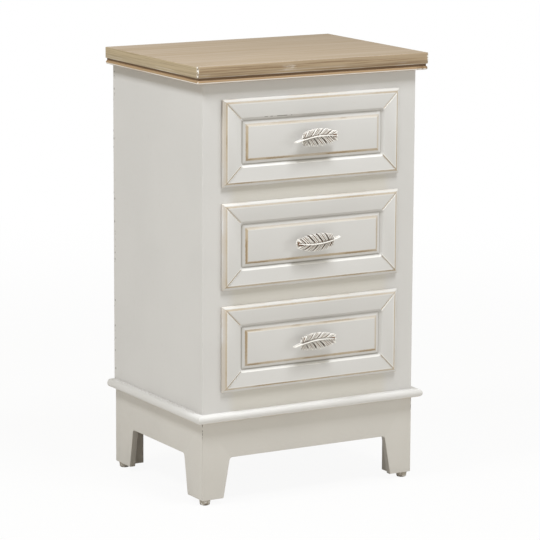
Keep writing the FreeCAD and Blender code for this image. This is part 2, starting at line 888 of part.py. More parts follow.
# The feather: places along it are shares of its length from the stem's axis,
# and heights are shares of its width
QUILL_TIP = -0.524
VANE_START = -0.36
VANE_END = 0.43
FEATHER_TIP = 0.476
SHAFT_TOP = 0.15
SHAFT_PEAK = 0.10
SHAFT_BEND = 0.75
SHAFT_STATIONS = 7
SHAFT_END = 0.41
SHAFT_END_WIDTH = 0.3
QUILL_END_WIDTH = 0.6
BARBS = 8
BARB_LEAN = 0.02
BARB_WIDTH = 0.046
NOTCH_SHARE = 0.84
RIDGE_SHARE = 0.12
FULLNESS = 0.7
UPPER_VANE = {"sign": 1, "reach": 0.42, "phase": 0.30, "sweep": 0.55}
LOWER_VANE = {"sign": -1, "reach": 0.57, "phase": 0.16, "sweep": 0.76}


def shaft_line(along):
    """Height of the curved shaft at a place along the feather."""
    return SHAFT_TOP - SHAFT_BEND * (along - SHAFT_PEAK) ** 2


def feather_point(along, rise):
    """A corner of an outline, from its place along the shaft and its rise off it."""
    return (feather_length * along, feather_width * (shaft_line(along) + rise))


def vane_side(vane, scale, lean):
    """The barbs of one side, as tips and notches from the quill to the end."""
    corners = []
    for index in range(BARBS):
        share = (index + 0.5) / BARBS
        middle = VANE_START + (VANE_END - VANE_START) * share + lean * (1 + share)
        turn = vane["phase"] + vane["sweep"] * share
        reach = vane["sign"] * vane["reach"] * scale * math.sin(math.pi * turn) ** FULLNESS
        corners.append(feather_point(middle - BARB_WIDTH / 2, reach))
        corners.append(feather_point(middle + BARB_WIDTH / 2, reach * NOTCH_SHARE))
    return corners


def vane_outline(scale, lean):
    """Both sides of the vane, closed by a point at the quill and one at the tip."""
    upper = vane_side(UPPER_VANE, scale, lean)
    lower = vane_side(LOWER_VANE, scale, lean)
    lower.reverse()
    return [feather_point(VANE_START, 0)] + upper + [feather_point(FEATHER_TIP, 0)] + lower


def shaft_outline():
    """The feather's shaft, which tapers from the quill to the far end."""
    upper = []
    lower = []
    for step in range(SHAFT_STATIONS):
        share = step / (SHAFT_STATIONS - 1)
        along = QUILL_TIP + (SHAFT_END - QUILL_TIP) * share
        width = 1 + (SHAFT_END_WIDTH - 1) * share if step else QUILL_END_WIDTH
        x, z = feather_point(along, 0)
        upper.append((x, z + shaft_width * width / 2))
        lower.append((x, z - shaft_width * width / 2))
    upper.reverse()
    return lower + upper


def make_knob(label, z, turn):
    """The knob's origin is on the drawer's field, in the middle of its stem."""
    body = new_body(label)
    rim_y = knob_stem_length + feather_rim
    edge = vane_outline(1, BARB_LEAN)
    ridge = vane_outline(RIDGE_SHARE, 0)
    pad(body, "XZ_Plane", edge, feather_rim, offset=knob_stem_length)
    loft(body, "AdditiveLoft", "XZ_Plane", (
        (edge, rim_y),
        (ridge, rim_y + feather_crown),
    ))
    shaft_y = rim_y - feather_rim / 2
    pad(body, "XZ_Plane", shaft_outline(), knob_projection - shaft_y, offset=shaft_y)
    stem = new_sketch(body, "XZ_Plane")
    draw_circles(stem, [(0, 0)], knob_stem_diameter)
    extrude(body, "Pad", stem, rim_y, False)
    drill(body, "XZ_Plane", [(0, 0)], hole_diameter, knob_bore, reverse=True)
    place(body, 0, face_y - lip_reach, z, Rotation(Y_AXIS, turn))


knob_bore = knob_stem_length + feather_rim / 2
knob_screw_grip = knob_bore - screw_play


def make_drawer(level):
    prefix = f"{levels[level]}_drawer"
    z = level_z(level)
    make_drawer_front(f"{prefix}_front", z)
    make_box(prefix, level)
    make_knob(f"{prefix}_knob", z, 180 if level == 1 else 0)
    bolt = screw(rebate_thickness + lip_thickness + knob_screw_grip)
    place(bolt, 0, box_y, z, Rotation(X_AXIS, 90))
    keep(bolt, f"{prefix}_knob_screw")


def check():
    """Stop if a feature failed, a pocket missed its board or a shape is not valid."""
    faults = []
    for thing in doc.Objects:
        if "Invalid" in thing.State or "Error" in thing.State:
            faults.append(f"{thing.Name} {thing.Label} failed")
        elif thing.TypeId == "PartDesign::Pocket":
            before = thing.BaseFeature.Shape.Volume
            if thing.Shape.Volume > before - 1e-6:
                faults.append(f"{thing.Name} cuts nothing from {thing.getParentGeoFeatureGroup().Label}")
    for part in parts:
        if part.Shape.isNull() or not part.Shape.isValid():
            faults.append(f"{part.Label} has no valid shape")
    if faults:
        raise ValueError("; ".join(faults))


def write():
    os.makedirs("parts", exist_ok=True)
    for part in parts:
        part.Shape.exportStep(f"parts/{part.Label}.step")
        box = part.Shape.BoundBox
        solids = len(part.Shape.Solids)
        print(f"{part.Label}: {solids} solid, {box.XLength:.1f} x {box.YLength:.1f} x {box.ZLength:.1f}")


def main():
    make_top()
    make_side("side_panel_left", -1)
    make_side("side_panel_right", 1)
    make_back()
    make_bottom()
    make_face_frame()
    make_stretchers()
    for name, side in (("left", -1), ("right", 1)):
        for level in range(len(levels)):
            make_runner(level, name, side)
        make_kickers(name, side)
    make_base()
    make_plinths()
    make_glides()
    make_screws()
    make_nails()
    for level in range(len(levels)):
        make_drawer(level)
    doc.recompute()
    check()
    write()


main()
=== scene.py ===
"""Looks for a painted three-drawer nightstand, laid out as a Blender add-on.

Run as a script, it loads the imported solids, models the pieces that need softer
or finer shapes, paints every piece and sets up the camera, lamps and floor.
"""

import math

import bmesh
import bpy
from bpy.props import FloatProperty, FloatVectorProperty, IntProperty, PointerProperty
from mathutils import Matrix, Vector


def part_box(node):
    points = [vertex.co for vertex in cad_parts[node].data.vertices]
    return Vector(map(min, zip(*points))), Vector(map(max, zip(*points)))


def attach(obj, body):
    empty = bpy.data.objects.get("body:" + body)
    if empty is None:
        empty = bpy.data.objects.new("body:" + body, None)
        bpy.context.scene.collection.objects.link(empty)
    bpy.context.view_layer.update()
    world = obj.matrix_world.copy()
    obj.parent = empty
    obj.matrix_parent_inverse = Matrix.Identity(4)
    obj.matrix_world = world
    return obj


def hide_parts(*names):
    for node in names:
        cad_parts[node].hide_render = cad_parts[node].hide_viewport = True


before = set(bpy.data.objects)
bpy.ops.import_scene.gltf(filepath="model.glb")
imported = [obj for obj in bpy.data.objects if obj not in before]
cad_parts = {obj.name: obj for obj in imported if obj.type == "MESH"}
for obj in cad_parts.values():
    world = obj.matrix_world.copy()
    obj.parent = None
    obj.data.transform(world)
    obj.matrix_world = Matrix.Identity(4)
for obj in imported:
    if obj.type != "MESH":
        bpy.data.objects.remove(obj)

bl_info = {
    "name": "Painted nightstand",
    "version": (1, 0, 0),
    "blender": (4, 5, 0),
    "location": "View3D > Sidebar > Nightstand",
    "description": "Models and paints a three-drawer nightstand round its solids",
    "category": "Object",
}

LEVELS = ("upper", "middle", "lower")
SIDES = ("left", "right")
MM = 0.001
UP = Vector((0, 0, 1))
FRONT = Vector((0, -1, 0))


# Places closer than this are the same, a face looks in a direction when this much
# of its normal does, and edges sharper than these angles are creases or softened


CLOSE = MM / 50
FACING = 0.9
CREASE_ANGLE = math.radians(32)
SOFTENED_ANGLE = math.radians(25)


def length(name, description, millimetres):
    """A size property, given in millimetres and kept in metres."""
    return FloatProperty(
        name=name,
        description=description,
        default=millimetres * MM,
        min=0,
        subtype="DISTANCE",
        unit="LENGTH",
        precision=5,
    )


def angle(name, description, degrees):
    """An angle property, given in degrees and kept in radians."""
    return FloatProperty(
        name=name, description=description, default=math.radians(degrees), subtype="ANGLE"
    )


def power(name, description, watts):
    """The power of a lamp."""
    return FloatProperty(name=name, description=description, default=watts, unit="POWER")


def light(name, description, shares):
    """A colour property, given as shares of red, green and blue light."""
    return FloatVectorProperty(
        name=name, description=description, default=shares, min=0, max=1, subtype="COLOR"
    )


def colour(name, description, red, green, blue):
    """A colour property, given as the 0-255 values it shows on a screen."""
    return light(name, description, [linear(value / 255) for value in (red, green, blue)])


def linear(value):
    """The linear light of one screen value."""
    if value <= 0.04045:
        return value / 12.92
    return ((value + 0.055) / 1.055) ** 2.4


class FinishSettings(bpy.types.PropertyGroup):
    """Colours of the paint, the wood and the metal."""

    paint: colour("Paint", "Off-white satin paint", 213, 211, 209)
    rubbed: colour("Rubbed paint", "Beige that shows where the paint is thin", 186, 165, 134)
    bare: colour("Bare wood", "Brown at the most worn edges", 156, 134, 104)
    # pale_wear_and_highlight is real pale wear on the top, and painted highlight on the drawer fronts
    # and the knobs' crests.
    pale_wear_and_highlight: colour("Paint ridge", "Thick bright paint beside a rubbed edge", 250, 248, 244)
    # recess_shade is painted shade: it darkens the channels of the drawer fronts and the inner faces
    # of the base, where shade falls.
    recess_shade: colour("Grime", "Dust settled in the channels", 122, 114, 100)
    speck: colour("Speck", "Dark marks where the paint has chipped", 84, 78, 68)
    oak: colour("Oak", "Limed oak of the top", 164, 149, 132)
    oak_streak: colour("Oak streak", "Darker grain of the top", 154, 137, 116)
    oak_edge: colour("Oak edge", "Edges of the top, less limed", 172, 150, 121)
    oak_line: colour("Grain line", "Open grain along the edges of the top", 124, 99, 70)
    end_grain: colour("End grain", "Pale grain at the top's left and right edges", 213, 204, 172)
    oak_bead: colour("Bead", "Warm stain on the bead of the top", 170, 140, 106)
    # groove_stain_and_shade is partly stain and partly painted shade in the groove under the slab; it
    # also marks the bead's bruise.
    groove_stain_and_shade: colour("Groove", "Stain left in the groove of the top", 112, 84, 56)
    raw_wood: colour("Raw wood", "Unpainted wood of the drawer boxes", 205, 178, 138)
    raw_streak: colour("Raw wood grain", "Grain of the drawer boxes", 176, 143, 101)
    plywood: colour("Plywood", "Drawer bottoms and back panel", 197, 169, 128)
    steel: colour("Steel", "Screws and nails", 150, 148, 144)
    knob: colour("Knob paint", "Off-white of the cast knobs", 229, 225, 219)
    knob_shade: colour("Knob shade", "Brown wash left in the knobs' hollows", 78, 58, 42)
    knob_pool: colour("Pooled wash", "Browner wash beside the feather's shaft", 156, 104, 58)
    glide: colour("Glide", "Brushed paint of the feet pads", 176, 168, 154)


class TopSettings(bpy.types.PropertyGroup):
    """Profile of the top board's routed edge."""

    bead_height: length("Bead height", "Height of the bead under the groove", 6)
    bead_setback: length("Bead setback", "How far the bead stands behind the slab", 0.6)
    bead_rounding: length("Bead rounding", "Radius of the bead's lower edge", 2.2)
    bead_slope: length("Bead slope", "Rounding of the bead's upper edge", 3.6)
    groove_height: length("Groove height", "Width of the groove", 3)
    groove_depth: length("Groove depth", "Depth of the groove", 2.6)
    arris: length("Arris", "Rounding of the slab's upright edges", 1.4)
    rim_arris: length("Rim arris", "Rounding of the slab's level edges", 0.84)


class FrontSettings(bpy.types.PropertyGroup):
    """Profile of the drawer fronts."""

    lip_thickness: length("Lip thickness", "Thickness of the front's lip", 7.2)
    edge_width: length("Edge bevel width", "Width of the bevel round the front", 6.5)
    edge_depth: length("Edge bevel depth", "Depth of the bevel round the front", 3.2)
    frame_flat: length("Frame width", "Flat between the bevel and the channel", 21.6)
    channel_depth: length("Channel depth", "Depth of the routed channel", 4)
    channel_cove: length("Channel wall", "Width of the channel's outer wall", 4)
    channel_floor: length("Channel floor", "Flat floor of the channel", 0.8)
    channel_slope: length("Field slope", "Width of the raised field's bevel", 7.8)
    channel_corner: length("Channel corner", "Radius of the channel's corners", 6.5)
    mitre_depth: length("Mitre groove", "Depth of the V groove along each mitre", 1.4)
    softness: length("Paint softness", "Rounding that the paint gives each edge", 0.4)


class BaseSettings(bpy.types.PropertyGroup):
    """Shape of the base and its moulding."""

    arch_height: length("Arch height", "From the foot to the arch's top", 61.8)
    arch_rounding: length("Arch rounding", "Radius of the arch's upper corners", 4)
    front_foot: length("Front foot width", "Width of a leg at the foot, front", 37)
    side_foot: length("Side foot width", "Width of a leg at the foot, side", 46.5)
    leg_taper: length("Leg taper", "How much wider a leg is at the arch", 11)
    softness: length("Edge softness", "Rounding of the base's edges", 1.1)
    corner_seam: length("Corner seam", "Rounding at the mitred corners", 0.5)
    nose: length("Moulding nose", "Radius of the moulding's half-round nose", 6.2)
    glide_inset: length("Glide inset", "From the base's corner to a glide's middle", 10)
    glide_taper: length("Glide taper", "How far a glide draws in towards the floor", 1.5)
    glide_rounding: length("Glide rounding", "Rounding of a glide's edge at the floor", 1.4)
    case_corner: length("Case corner", "Rounding of the case's front corners", 1.2)


class KnobSettings(bpy.types.PropertyGroup):
    """Shape of the feather knobs."""

    barbs: IntProperty(
        name="Barbs",
        description="Number of barbs along each side of the feather",
        default=21,
        min=6,
    )
    barb_width: length("Barb width", "Width of one barb", 2.0)
    barb_thickness: length("Barb thickness", "Thickness of one barb", 3.2)
    feather_length: length("Feather length", "Length of the feather", 76)
    feather_width: length("Feather width", "Height of the feather", 27.5)
    shaft_width: length("Shaft width", "Width of the feather's shaft", 3.4)
    stem_length: length("Stem length", "From the drawer to the feather", 11)
    rim_rise: length("Rim rise", "From the stem's end to the margin's barbs", 3.4)
    crown_rise: length("Crown rise", "From the stem's end to the barbs at the shaft", 4.1)
    valley: length("Valley", "Gap between the shaft and the barbs", 1.1)
    plate: length("Plate", "Thickness of the feather behind the barbs", 1.7)
    grain: length("Casting grain", "Fineness of the cast surface", 0.3)


class StageSettings(bpy.types.PropertyGroup):
    """Camera, lamps and floor."""

    yaw: angle("Yaw", "Turn of the camera from straight on", 30.134)
    pitch: angle("Pitch", "How far the camera looks down", 10.763)
    roll: angle("Roll", "Lean of the camera", 0.29)
    place: FloatVectorProperty(
        name="Camera place",
        description="Where the camera stands",
        default=(-2.2983, -3.96975, 1.1952),
        subtype="XYZ",
        unit="LENGTH",
    )
    lens: FloatProperty(
        name="Lens", description="Focal length of the camera", default=201.21, unit="CAMERA"
    )
    overhead: power("Overhead lamp", "Power of the lamp above the front", 41)
    high_left: power("High left lamp", "Power of the lamp above the left side", 32)
    right: power("Right lamp", "Power of the lamp at the right", 8)
    left: power("Left lamp", "Power of the lamp at the left", 5)
    room: FloatProperty(
        name="Room light", description="Strength of the even light from all round", default=0.35
    )
    floor_radius: length("Floor radius", "Radius of the studio floor", 4000)
    lamp_colour: light("Lamp colour", "Colour of the lamps, a little cool", (0.925, 0.96, 1))
    room_colour: light("Room colour", "Colour of the even light, a little warm", (1, 0.93, 0.74))


def settings(group):
    """The values of one group of settings."""
    return getattr(bpy.context.scene, f"nightstand_{group}")


# Modelling


def near(first, second):
    """Whether two measures are the same, but for rounding."""
    return abs(first - second) < CLOSE


def clear_selection():
    """Leave edit mode and select nothing."""
    if bpy.context.mode != "OBJECT":
        bpy.ops.object.mode_set(mode="OBJECT")
    bpy.ops.object.select_all(action="DESELECT")


def activate(piece):
    """Make one piece the only selected and active one."""
    clear_selection()
    piece.select_set(True)
    bpy.context.view_layer.objects.active = piece


def settle(name):
    """Name the new primitive and put its place in its mesh."""
    piece = bpy.context.object
    piece.name = name
    piece.data.name = name
    bpy.ops.object.transform_apply(location=True, rotation=True, scale=True)
    return piece


def add_block(name, low, high, rotation=(0, 0, 0)):
    """A box between two corners, before any turn about its middle."""
    clear_selection()
    low, high = Vector(low), Vector(high)
    bpy.ops.mesh.primitive_cube_add(
        size=1, location=(low + high) / 2, rotation=rotation, scale=high - low
    )
    return settle(name)


def edit(piece, element, start="DESELECT"):
    """Start editing a piece with nothing or all selected, and give its mesh."""
    activate(piece)
    bpy.ops.object.mode_set(mode="EDIT")
    bpy.ops.mesh.select_mode(type=element)
    bpy.ops.mesh.select_all(action=start)
    return bmesh.from_edit_mesh(piece.data)


def pick_faces(piece, direction):
    """Start editing with the faces selected that look in a direction."""
    shape = edit(piece, "FACE")
    for face in shape.faces:
        if face.normal.dot(direction) > FACING:
            face.select_set(True)
    bmesh.update_edit_mesh(piece.data)


def pick_edges(piece, chosen):
    """Start editing with the edges selected whose two ends are chosen."""
    shape = edit(piece, "EDGE")
    for edge in shape.edges:
        first, second = (vertex.co for vertex in edge.verts)
        if chosen(first, second):
            edge.select_set(True)
    bmesh.update_edit_mesh(piece.data)


def pick_points(piece, chosen):
    """Start editing with the points selected whose places are chosen."""
    shape = edit(piece, "VERT")
    for vertex in shape.verts:
        if chosen(vertex.co):
            vertex.select_set(True)
    bmesh.update_edit_mesh(piece.data)


def resize(factors, centre):
    """Resize what is selected about a point, and stop editing."""
    bpy.ops.transform.resize(value=factors, center_override=centre)
    clear_selection()


def round_edges(piece, radius, segments, chosen):
    """Round the edges whose two ends are chosen."""
    pick_edges(piece, chosen)
    bpy.ops.mesh.bevel(
        offset=radius, segments=segments, profile=0.5, affect="EDGES", clamp_overlap=False
    )
    clear_selection()


def along(axis, **places):
    """Choose edges that run along an axis, at the places given for other axes."""
    across = [name for name in "xyz" if name != axis]

    def chosen(first, second):
        straight = all(near(getattr(first, name), getattr(second, name)) for name in across)
        return straight and all(
            any(near(getattr(first, name), place) for place in wanted)
            for name, wanted in places.items()
        )

    return chosen


def level_edges(rear, *heights):
    """Choose the level edges at some heights, but for those at the rear."""

    def chosen(first, second):
        level = any(near(first.z, height) and near(second.z, height) for height in heights)
        behind = near(min(first.y, second.y), rear)
        return level and not behind

    return chosen


def apply(piece, kind, **values):
    """Give a piece a modifier and apply it."""
    activate(piece)
    modifier = piece.modifiers.new(kind, kind)
    for name, value in values.items():
        setattr(modifier, name, value)
    bpy.ops.object.modifier_apply(modifier=modifier.name)


def cut(piece, cutter, operation="DIFFERENCE"):
    """Cut a piece with another, which is used up."""
    apply(piece, "BOOLEAN", object=cutter, operation=operation, solver="EXACT")
    bpy.data.objects.remove(cutter)


def join(name, pieces):
    """Make several pieces one."""
    activate(pieces[0])
    for piece in pieces:
        piece.select_set(True)
    bpy.ops.object.join()
    pieces[0].name = name
    pieces[0].data.name = name
    return pieces[0]


def mitre(piece, corner, outward):
    """Cut a piece along an upright plane, and keep what is behind it."""
    edit(piece, "FACE", "SELECT")
    bpy.ops.mesh.bisect(plane_co=corner, plane_no=outward, use_fill=True, clear_outer=True)
    clear_selection()


def soften(piece, width):
    """Round every sharp edge a little, as paint does."""
    apply(
        piece,
        "BEVEL",
        width=width,
        segments=2,
        limit_method="ANGLE",
        angle_limit=SOFTENED_ANGLE,
        use_clamp_overlap=False,
    )


def smooth(piece):
    """Shade a piece smooth between its sharp edges."""
    activate(piece)
    bpy.ops.object.shade_smooth_by_angle(angle=CREASE_ANGLE)
    clear_selection()


def copy_piece(piece, name, matrix=None):
    """A copy of a piece with its own mesh, moved by a matrix if one is given."""
    twin = piece.copy()
    twin.data = piece.data.copy()
    twin.name = name
    twin.data.name = name
    if matrix is not None:
        twin.data.transform(matrix)
    bpy.context.scene.collection.objects.link(twin)
    return twin


def half_turn(centre, axis):
    """A half turn about an axis through a point."""
    turn = Matrix.Rotation(math.pi, 4, axis)
    return Matrix.Translation(centre) @ turn @ Matrix.Translation(-Vector(centre))


def dress(piece, body, slot, material, *nodes):
    """Paint a new piece, and say what it rides on and stands for."""
    piece.data.materials.clear()
    piece.data.materials.append(material)
    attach(piece, body)
    if nodes:
        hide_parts(*nodes)


def paint_nodes(material, names):
    """Give CAD nodes a material in all their slots."""
    for name in names:
        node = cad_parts[name]
        for index in range(len(node.material_slots)):
            node.material_slots[index].material = material


def middle_of(name):
    """The middle of a CAD node."""
    low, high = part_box(name)
    return (low + high) / 2


# Materials


class Nodes:
    """Shader nodes: each method adds one or more and gives their output."""

    def __init__(self, tree):
        self.tree = tree

    def add(self, kind, output=0, **values):
        """A node with its properties and inputs set by name."""
        node = self.tree.nodes.new(kind)
        for name, value in values.items():
            if hasattr(node, name) and name not in node.inputs:
                setattr(node, name, value)
                continue
            self.feed(node.inputs[name.replace("_", " ")], value)
        return node.outputs[output]

    def feed(self, socket, value):
        """Link an output to a socket, or set the socket's value."""
        if isinstance(value, bpy.types.NodeSocket):
            self.tree.links.new(value, socket)
            return
        if socket.type == "RGBA" and len(value) == 3:
            value = (*value, 1)
        socket.default_value = value

    def math(self, operation, *numbers):
        """Arithmetic on one to three numbers."""
        node = self.tree.nodes.new("ShaderNodeMath")
        node.operation = operation
        for socket, number in zip(node.inputs, numbers):
            self.feed(socket, number)
        return node.outputs[0]

    def minus(self, first, second):
        """The first number less the second."""
        return self.math("SUBTRACT", first, second)

    def absolute(self, number):
        """A number without its sign."""
        return self.math("ABSOLUTE", number)

    def scaled(self, number, factor, start):
        """A number times a factor, added to a start."""
        return self.math("MULTIPLY_ADD", number, factor, start)

    def below(self, number, limit):
        """1 where a number is under a limit, and 0 elsewhere."""
        return self.math("LESS_THAN", number, limit)

    def above(self, number, limit):
        """1 where a number is over a limit, and 0 elsewhere."""
        return self.math("GREATER_THAN", number, limit)

    def all_of(self, *masks):
        """Where every mask is: their product, so a mask can be a plain share."""
        total = masks[0]
        for mask in masks[1:]:
            total = self.math("MULTIPLY", total, mask)
        return total

    def any_of(self, *masks):
        """Where any mask is: the greatest of them."""
        total = masks[0]
        for mask in masks[1:]:
            total = self.math("MAXIMUM", total, mask)
        return total

    def none_of(self, *masks):
        """Where no mask is."""
        return self.minus(1.0, self.any_of(*masks))

    def span(self, number, low, high, start=0.0, end=1.0):
        """Move a number smoothly from one range to another."""
        node = self.tree.nodes.new("ShaderNodeMapRange")
        node.interpolation_type = "SMOOTHSTEP"
        for socket, value in zip(node.inputs, (number, low, high, start, end)):
            self.feed(socket, value)
        return node.outputs[0]

    def fade(self, number, low, high):
        """1 under a range, fading to 0 over it."""
        return self.span(number, low, high, 1.0, 0.0)

    def line(self, number, centre, half_width, softness):
        """1 on a line where a number is near its centre, fading at both edges."""
        distance = self.absolute(self.minus(number, centre))
        return self.fade(distance, half_width, half_width + softness)

    def mix(self, share, first, second):
        """Blend two colours."""
        node = self.tree.nodes.new("ShaderNodeMix")
        node.data_type = "RGBA"
        self.feed(node.inputs[0], share)
        self.feed(node.inputs[6], first)
        self.feed(node.inputs[7], second)
        return node.outputs[2]

    def cover(self, coat, shade, *masks):
        """A coat with another colour over it where every mask is."""
        return self.mix(self.all_of(*masks), coat, shade)

    def split(self, vector):
        """The three parts of a vector."""
        node = self.tree.nodes.new("ShaderNodeSeparateXYZ")
        self.feed(node.inputs[0], vector)
        return node.outputs

    def seen_by(self, *kinds):
        """1 for rays of some kinds, such as those from the camera."""
        rays = self.add("ShaderNodeLightPath").node.outputs
        return self.any_of(*(rays[f"Is {kind} Ray"] for kind in kinds))


class Finish(Nodes):
    """A material being built."""

    def __init__(self, name):
        self.material = bpy.data.materials.new(name)
        self.material.use_nodes = True
        super().__init__(self.material.node_tree)
        self.shader = self.tree.nodes["Principled BSDF"]

    def set(self, **values):
        """Set or link the shader's sockets."""
        for name, value in values.items():
            self.feed(self.shader.inputs[name.replace("_", " ")], value)
        return self.material

    def position(self, scale=(1, 1, 1), shift=(0, 0, 0)):
        """Place on the piece in metres, moved and stretched."""
        place = self.add("ShaderNodeTexCoord", output=3)
        return self.add("ShaderNodeMapping", Vector=place, Location=shift, Scale=scale)

    def axes(self, shift=(0, 0, 0)):
        """Place on the piece as three numbers: across, deep and up."""
        return self.split(self.position(shift=shift))

    def normal(self):
        """The three parts of the direction that the surface faces."""
        return self.split(self.add("ShaderNodeNewGeometry", output=1))

    def noise(self, vector, scale, detail=3, roughness=0.5, distortion=0.0):
        """Soft noise between 0 and 1."""
        return self.add(
            "ShaderNodeTexNoise",
            Vector=vector,
            Scale=scale,
            Detail=detail,
            Roughness=roughness,
            Distortion=distortion,
        )

    def patches(self, scale, low, high):
        """Soft-edged patches over the piece, where its noise is strong."""
        return self.span(self.noise(self.position(), scale, detail=2), low, high)

    def specks(self, place, scale, amount):
        """Small round marks, scattered; a larger amount gives more of them."""
        cells = self.add("ShaderNodeTexVoronoi", Vector=place, Scale=scale, Randomness=1).node
        chosen = self.below(self.split(cells.outputs["Color"])[0], amount)
        return self.all_of(chosen, self.fade(cells.outputs["Distance"], 0.12, 0.3))

    def surface(self, grain, dull, duller, relief, strength):
        """Roughness that follows a grain, and relief of the grain's height."""
        self.set(Roughness=self.span(grain, 0.2, 0.8, dull, duller))
        self.relief(grain, relief, strength)

    def relief(self, height, distance, strength):
        """Relief from a height between 0 and 1."""
        bump = self.add("ShaderNodeBump", Height=height, Distance=distance, Strength=strength)
        self.set(Normal=bump)


def toned(shade, *factors):
    """A colour scaled by one factor, or each part of it by its own."""
    return [value * factor for value, factor in zip(shade, factors * 3)]


def base_paint(finish, shade=None):
    """Satin paint over wood: faint mottling, brush marks and grain relief."""
    colours = settings("finish")
    place = finish.position()
    cloud = finish.noise(place, 9, detail=2)
    fine = finish.noise(place, 140)
    brushed = finish.noise(finish.position(scale=(25, 25, 700)), 1, detail=2)
    body = shade or colours.paint
    coat = finish.mix(finish.span(cloud, 0.3, 0.7), toned(body, 0.982), toned(body, 1.012))
    coat = finish.cover(coat, colours.rubbed, finish.span(fine, 0.6, 0.8), 0.05)
    finish.relief(finish.scaled(brushed, 0.5, finish.all_of(fine, 0.5)), 0.12 * MM, 0.5)
    finish.set(Roughness=finish.span(fine, 0.2, 0.8, 0.38, 0.5), Specular_IOR_Level=0.4)
    return coat


def rear_chips(finish):
    """Small chips down the rear edges of the case."""
    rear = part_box("side_panel_left")[1].y
    at_rear = finish.span(finish.axes()[1], rear - 3 * MM, rear - 0.5 * MM)
    chips = finish.specks(finish.position(scale=(1, 1, 0.5)), 230, 0.8)
    return finish.all_of(at_rear, chips, finish.patches(26, 0.42, 0.5))


def case_paint():
    """Paint of the case: chips at its rear edges, and a warm painted shade, partly glaze, on the
    rails between the drawers.
    """
    finish = Finish("case paint")
    colours = settings("finish")
    coat = base_paint(finish)
    across, deep, up = finish.axes()
    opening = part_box("face_stile_right")[0].x
    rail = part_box("face_rail_top")[0]
    between = finish.fade(finish.absolute(across), opening - 20 * MM, opening)
    in_front = finish.below(deep, rail.y + MM)
    under_rail = finish.below(up, rail.z)
    # Painted shade, partly glaze: the rails between the drawers get a darker, warmer paint, where the
    # drawers' lips shade them.
    rail_glaze_and_shade = toned(colours.paint, 0.985, 0.965, 0.91)
    coat = finish.cover(coat, rail_glaze_and_shade, between, in_front, under_rail)
    coat = finish.cover(coat, colours.speck, rear_chips(finish))
    return finish.set(Base_Color=coat)


def base_coat():
    """Paint of the base: a darker, warmer copy of the case paint and darker inner faces, both painted
    shade, with dark marks at opened corners.
    """
    finish = Finish("base paint")
    colours = settings("finish")
    low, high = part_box("apron_front")
    seam, seam_end = 0.4 * MM, 1.2 * MM
    # Painted shade: the base is painted a darker, warmer copy of the case paint, as it stands in
    # shade near the floor.
    coat = base_paint(finish, toned(colours.paint, 0.96, 0.94, 0.90))
    across, deep, up = finish.axes()
    facing = finish.normal()
    outward = finish.scaled(facing[0], across, finish.all_of(facing[1], deep))
    # Painted shade: faces that look inwards, under the case, are darkened.
    coat = finish.cover(coat, colours.recess_shade, finish.below(outward, -MM), 0.55)
    near_side = finish.span(finish.absolute(across), high.x - seam_end, high.x - seam)
    near_front = finish.fade(deep, low.y + seam, low.y + seam_end)
    under_moulding = finish.span(up, high.z - 34 * MM, high.z - 20 * MM)
    gaps = finish.patches(130, 0.42, 0.5)
    coat = finish.cover(coat, colours.speck, near_side, near_front, under_moulding, gaps)
    return finish.set(Base_Color=coat)


def moulding_paint():
    """Paint of the moulding, a lighter copy of the case paint as painted light, thin and beige along
    its lower edge.
    """
    finish = Finish("moulding paint")
    colours = settings("finish")
    # Painted light: the moulding's paint is lighter than the case paint, as its rounded top catches
    # more light.
    coat = base_paint(finish, toned(colours.paint, 1.04))
    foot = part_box("plinth_moulding_front")[0].z
    thin = finish.fade(finish.axes()[2], foot + 0.6 * MM, foot + 2.2 * MM)
    uneven = finish.span(finish.noise(finish.position(), 40), 0.35, 0.65, 0.25, 0.8)
    return finish.set(Base_Color=finish.cover(coat, colours.rubbed, thin, uneven))


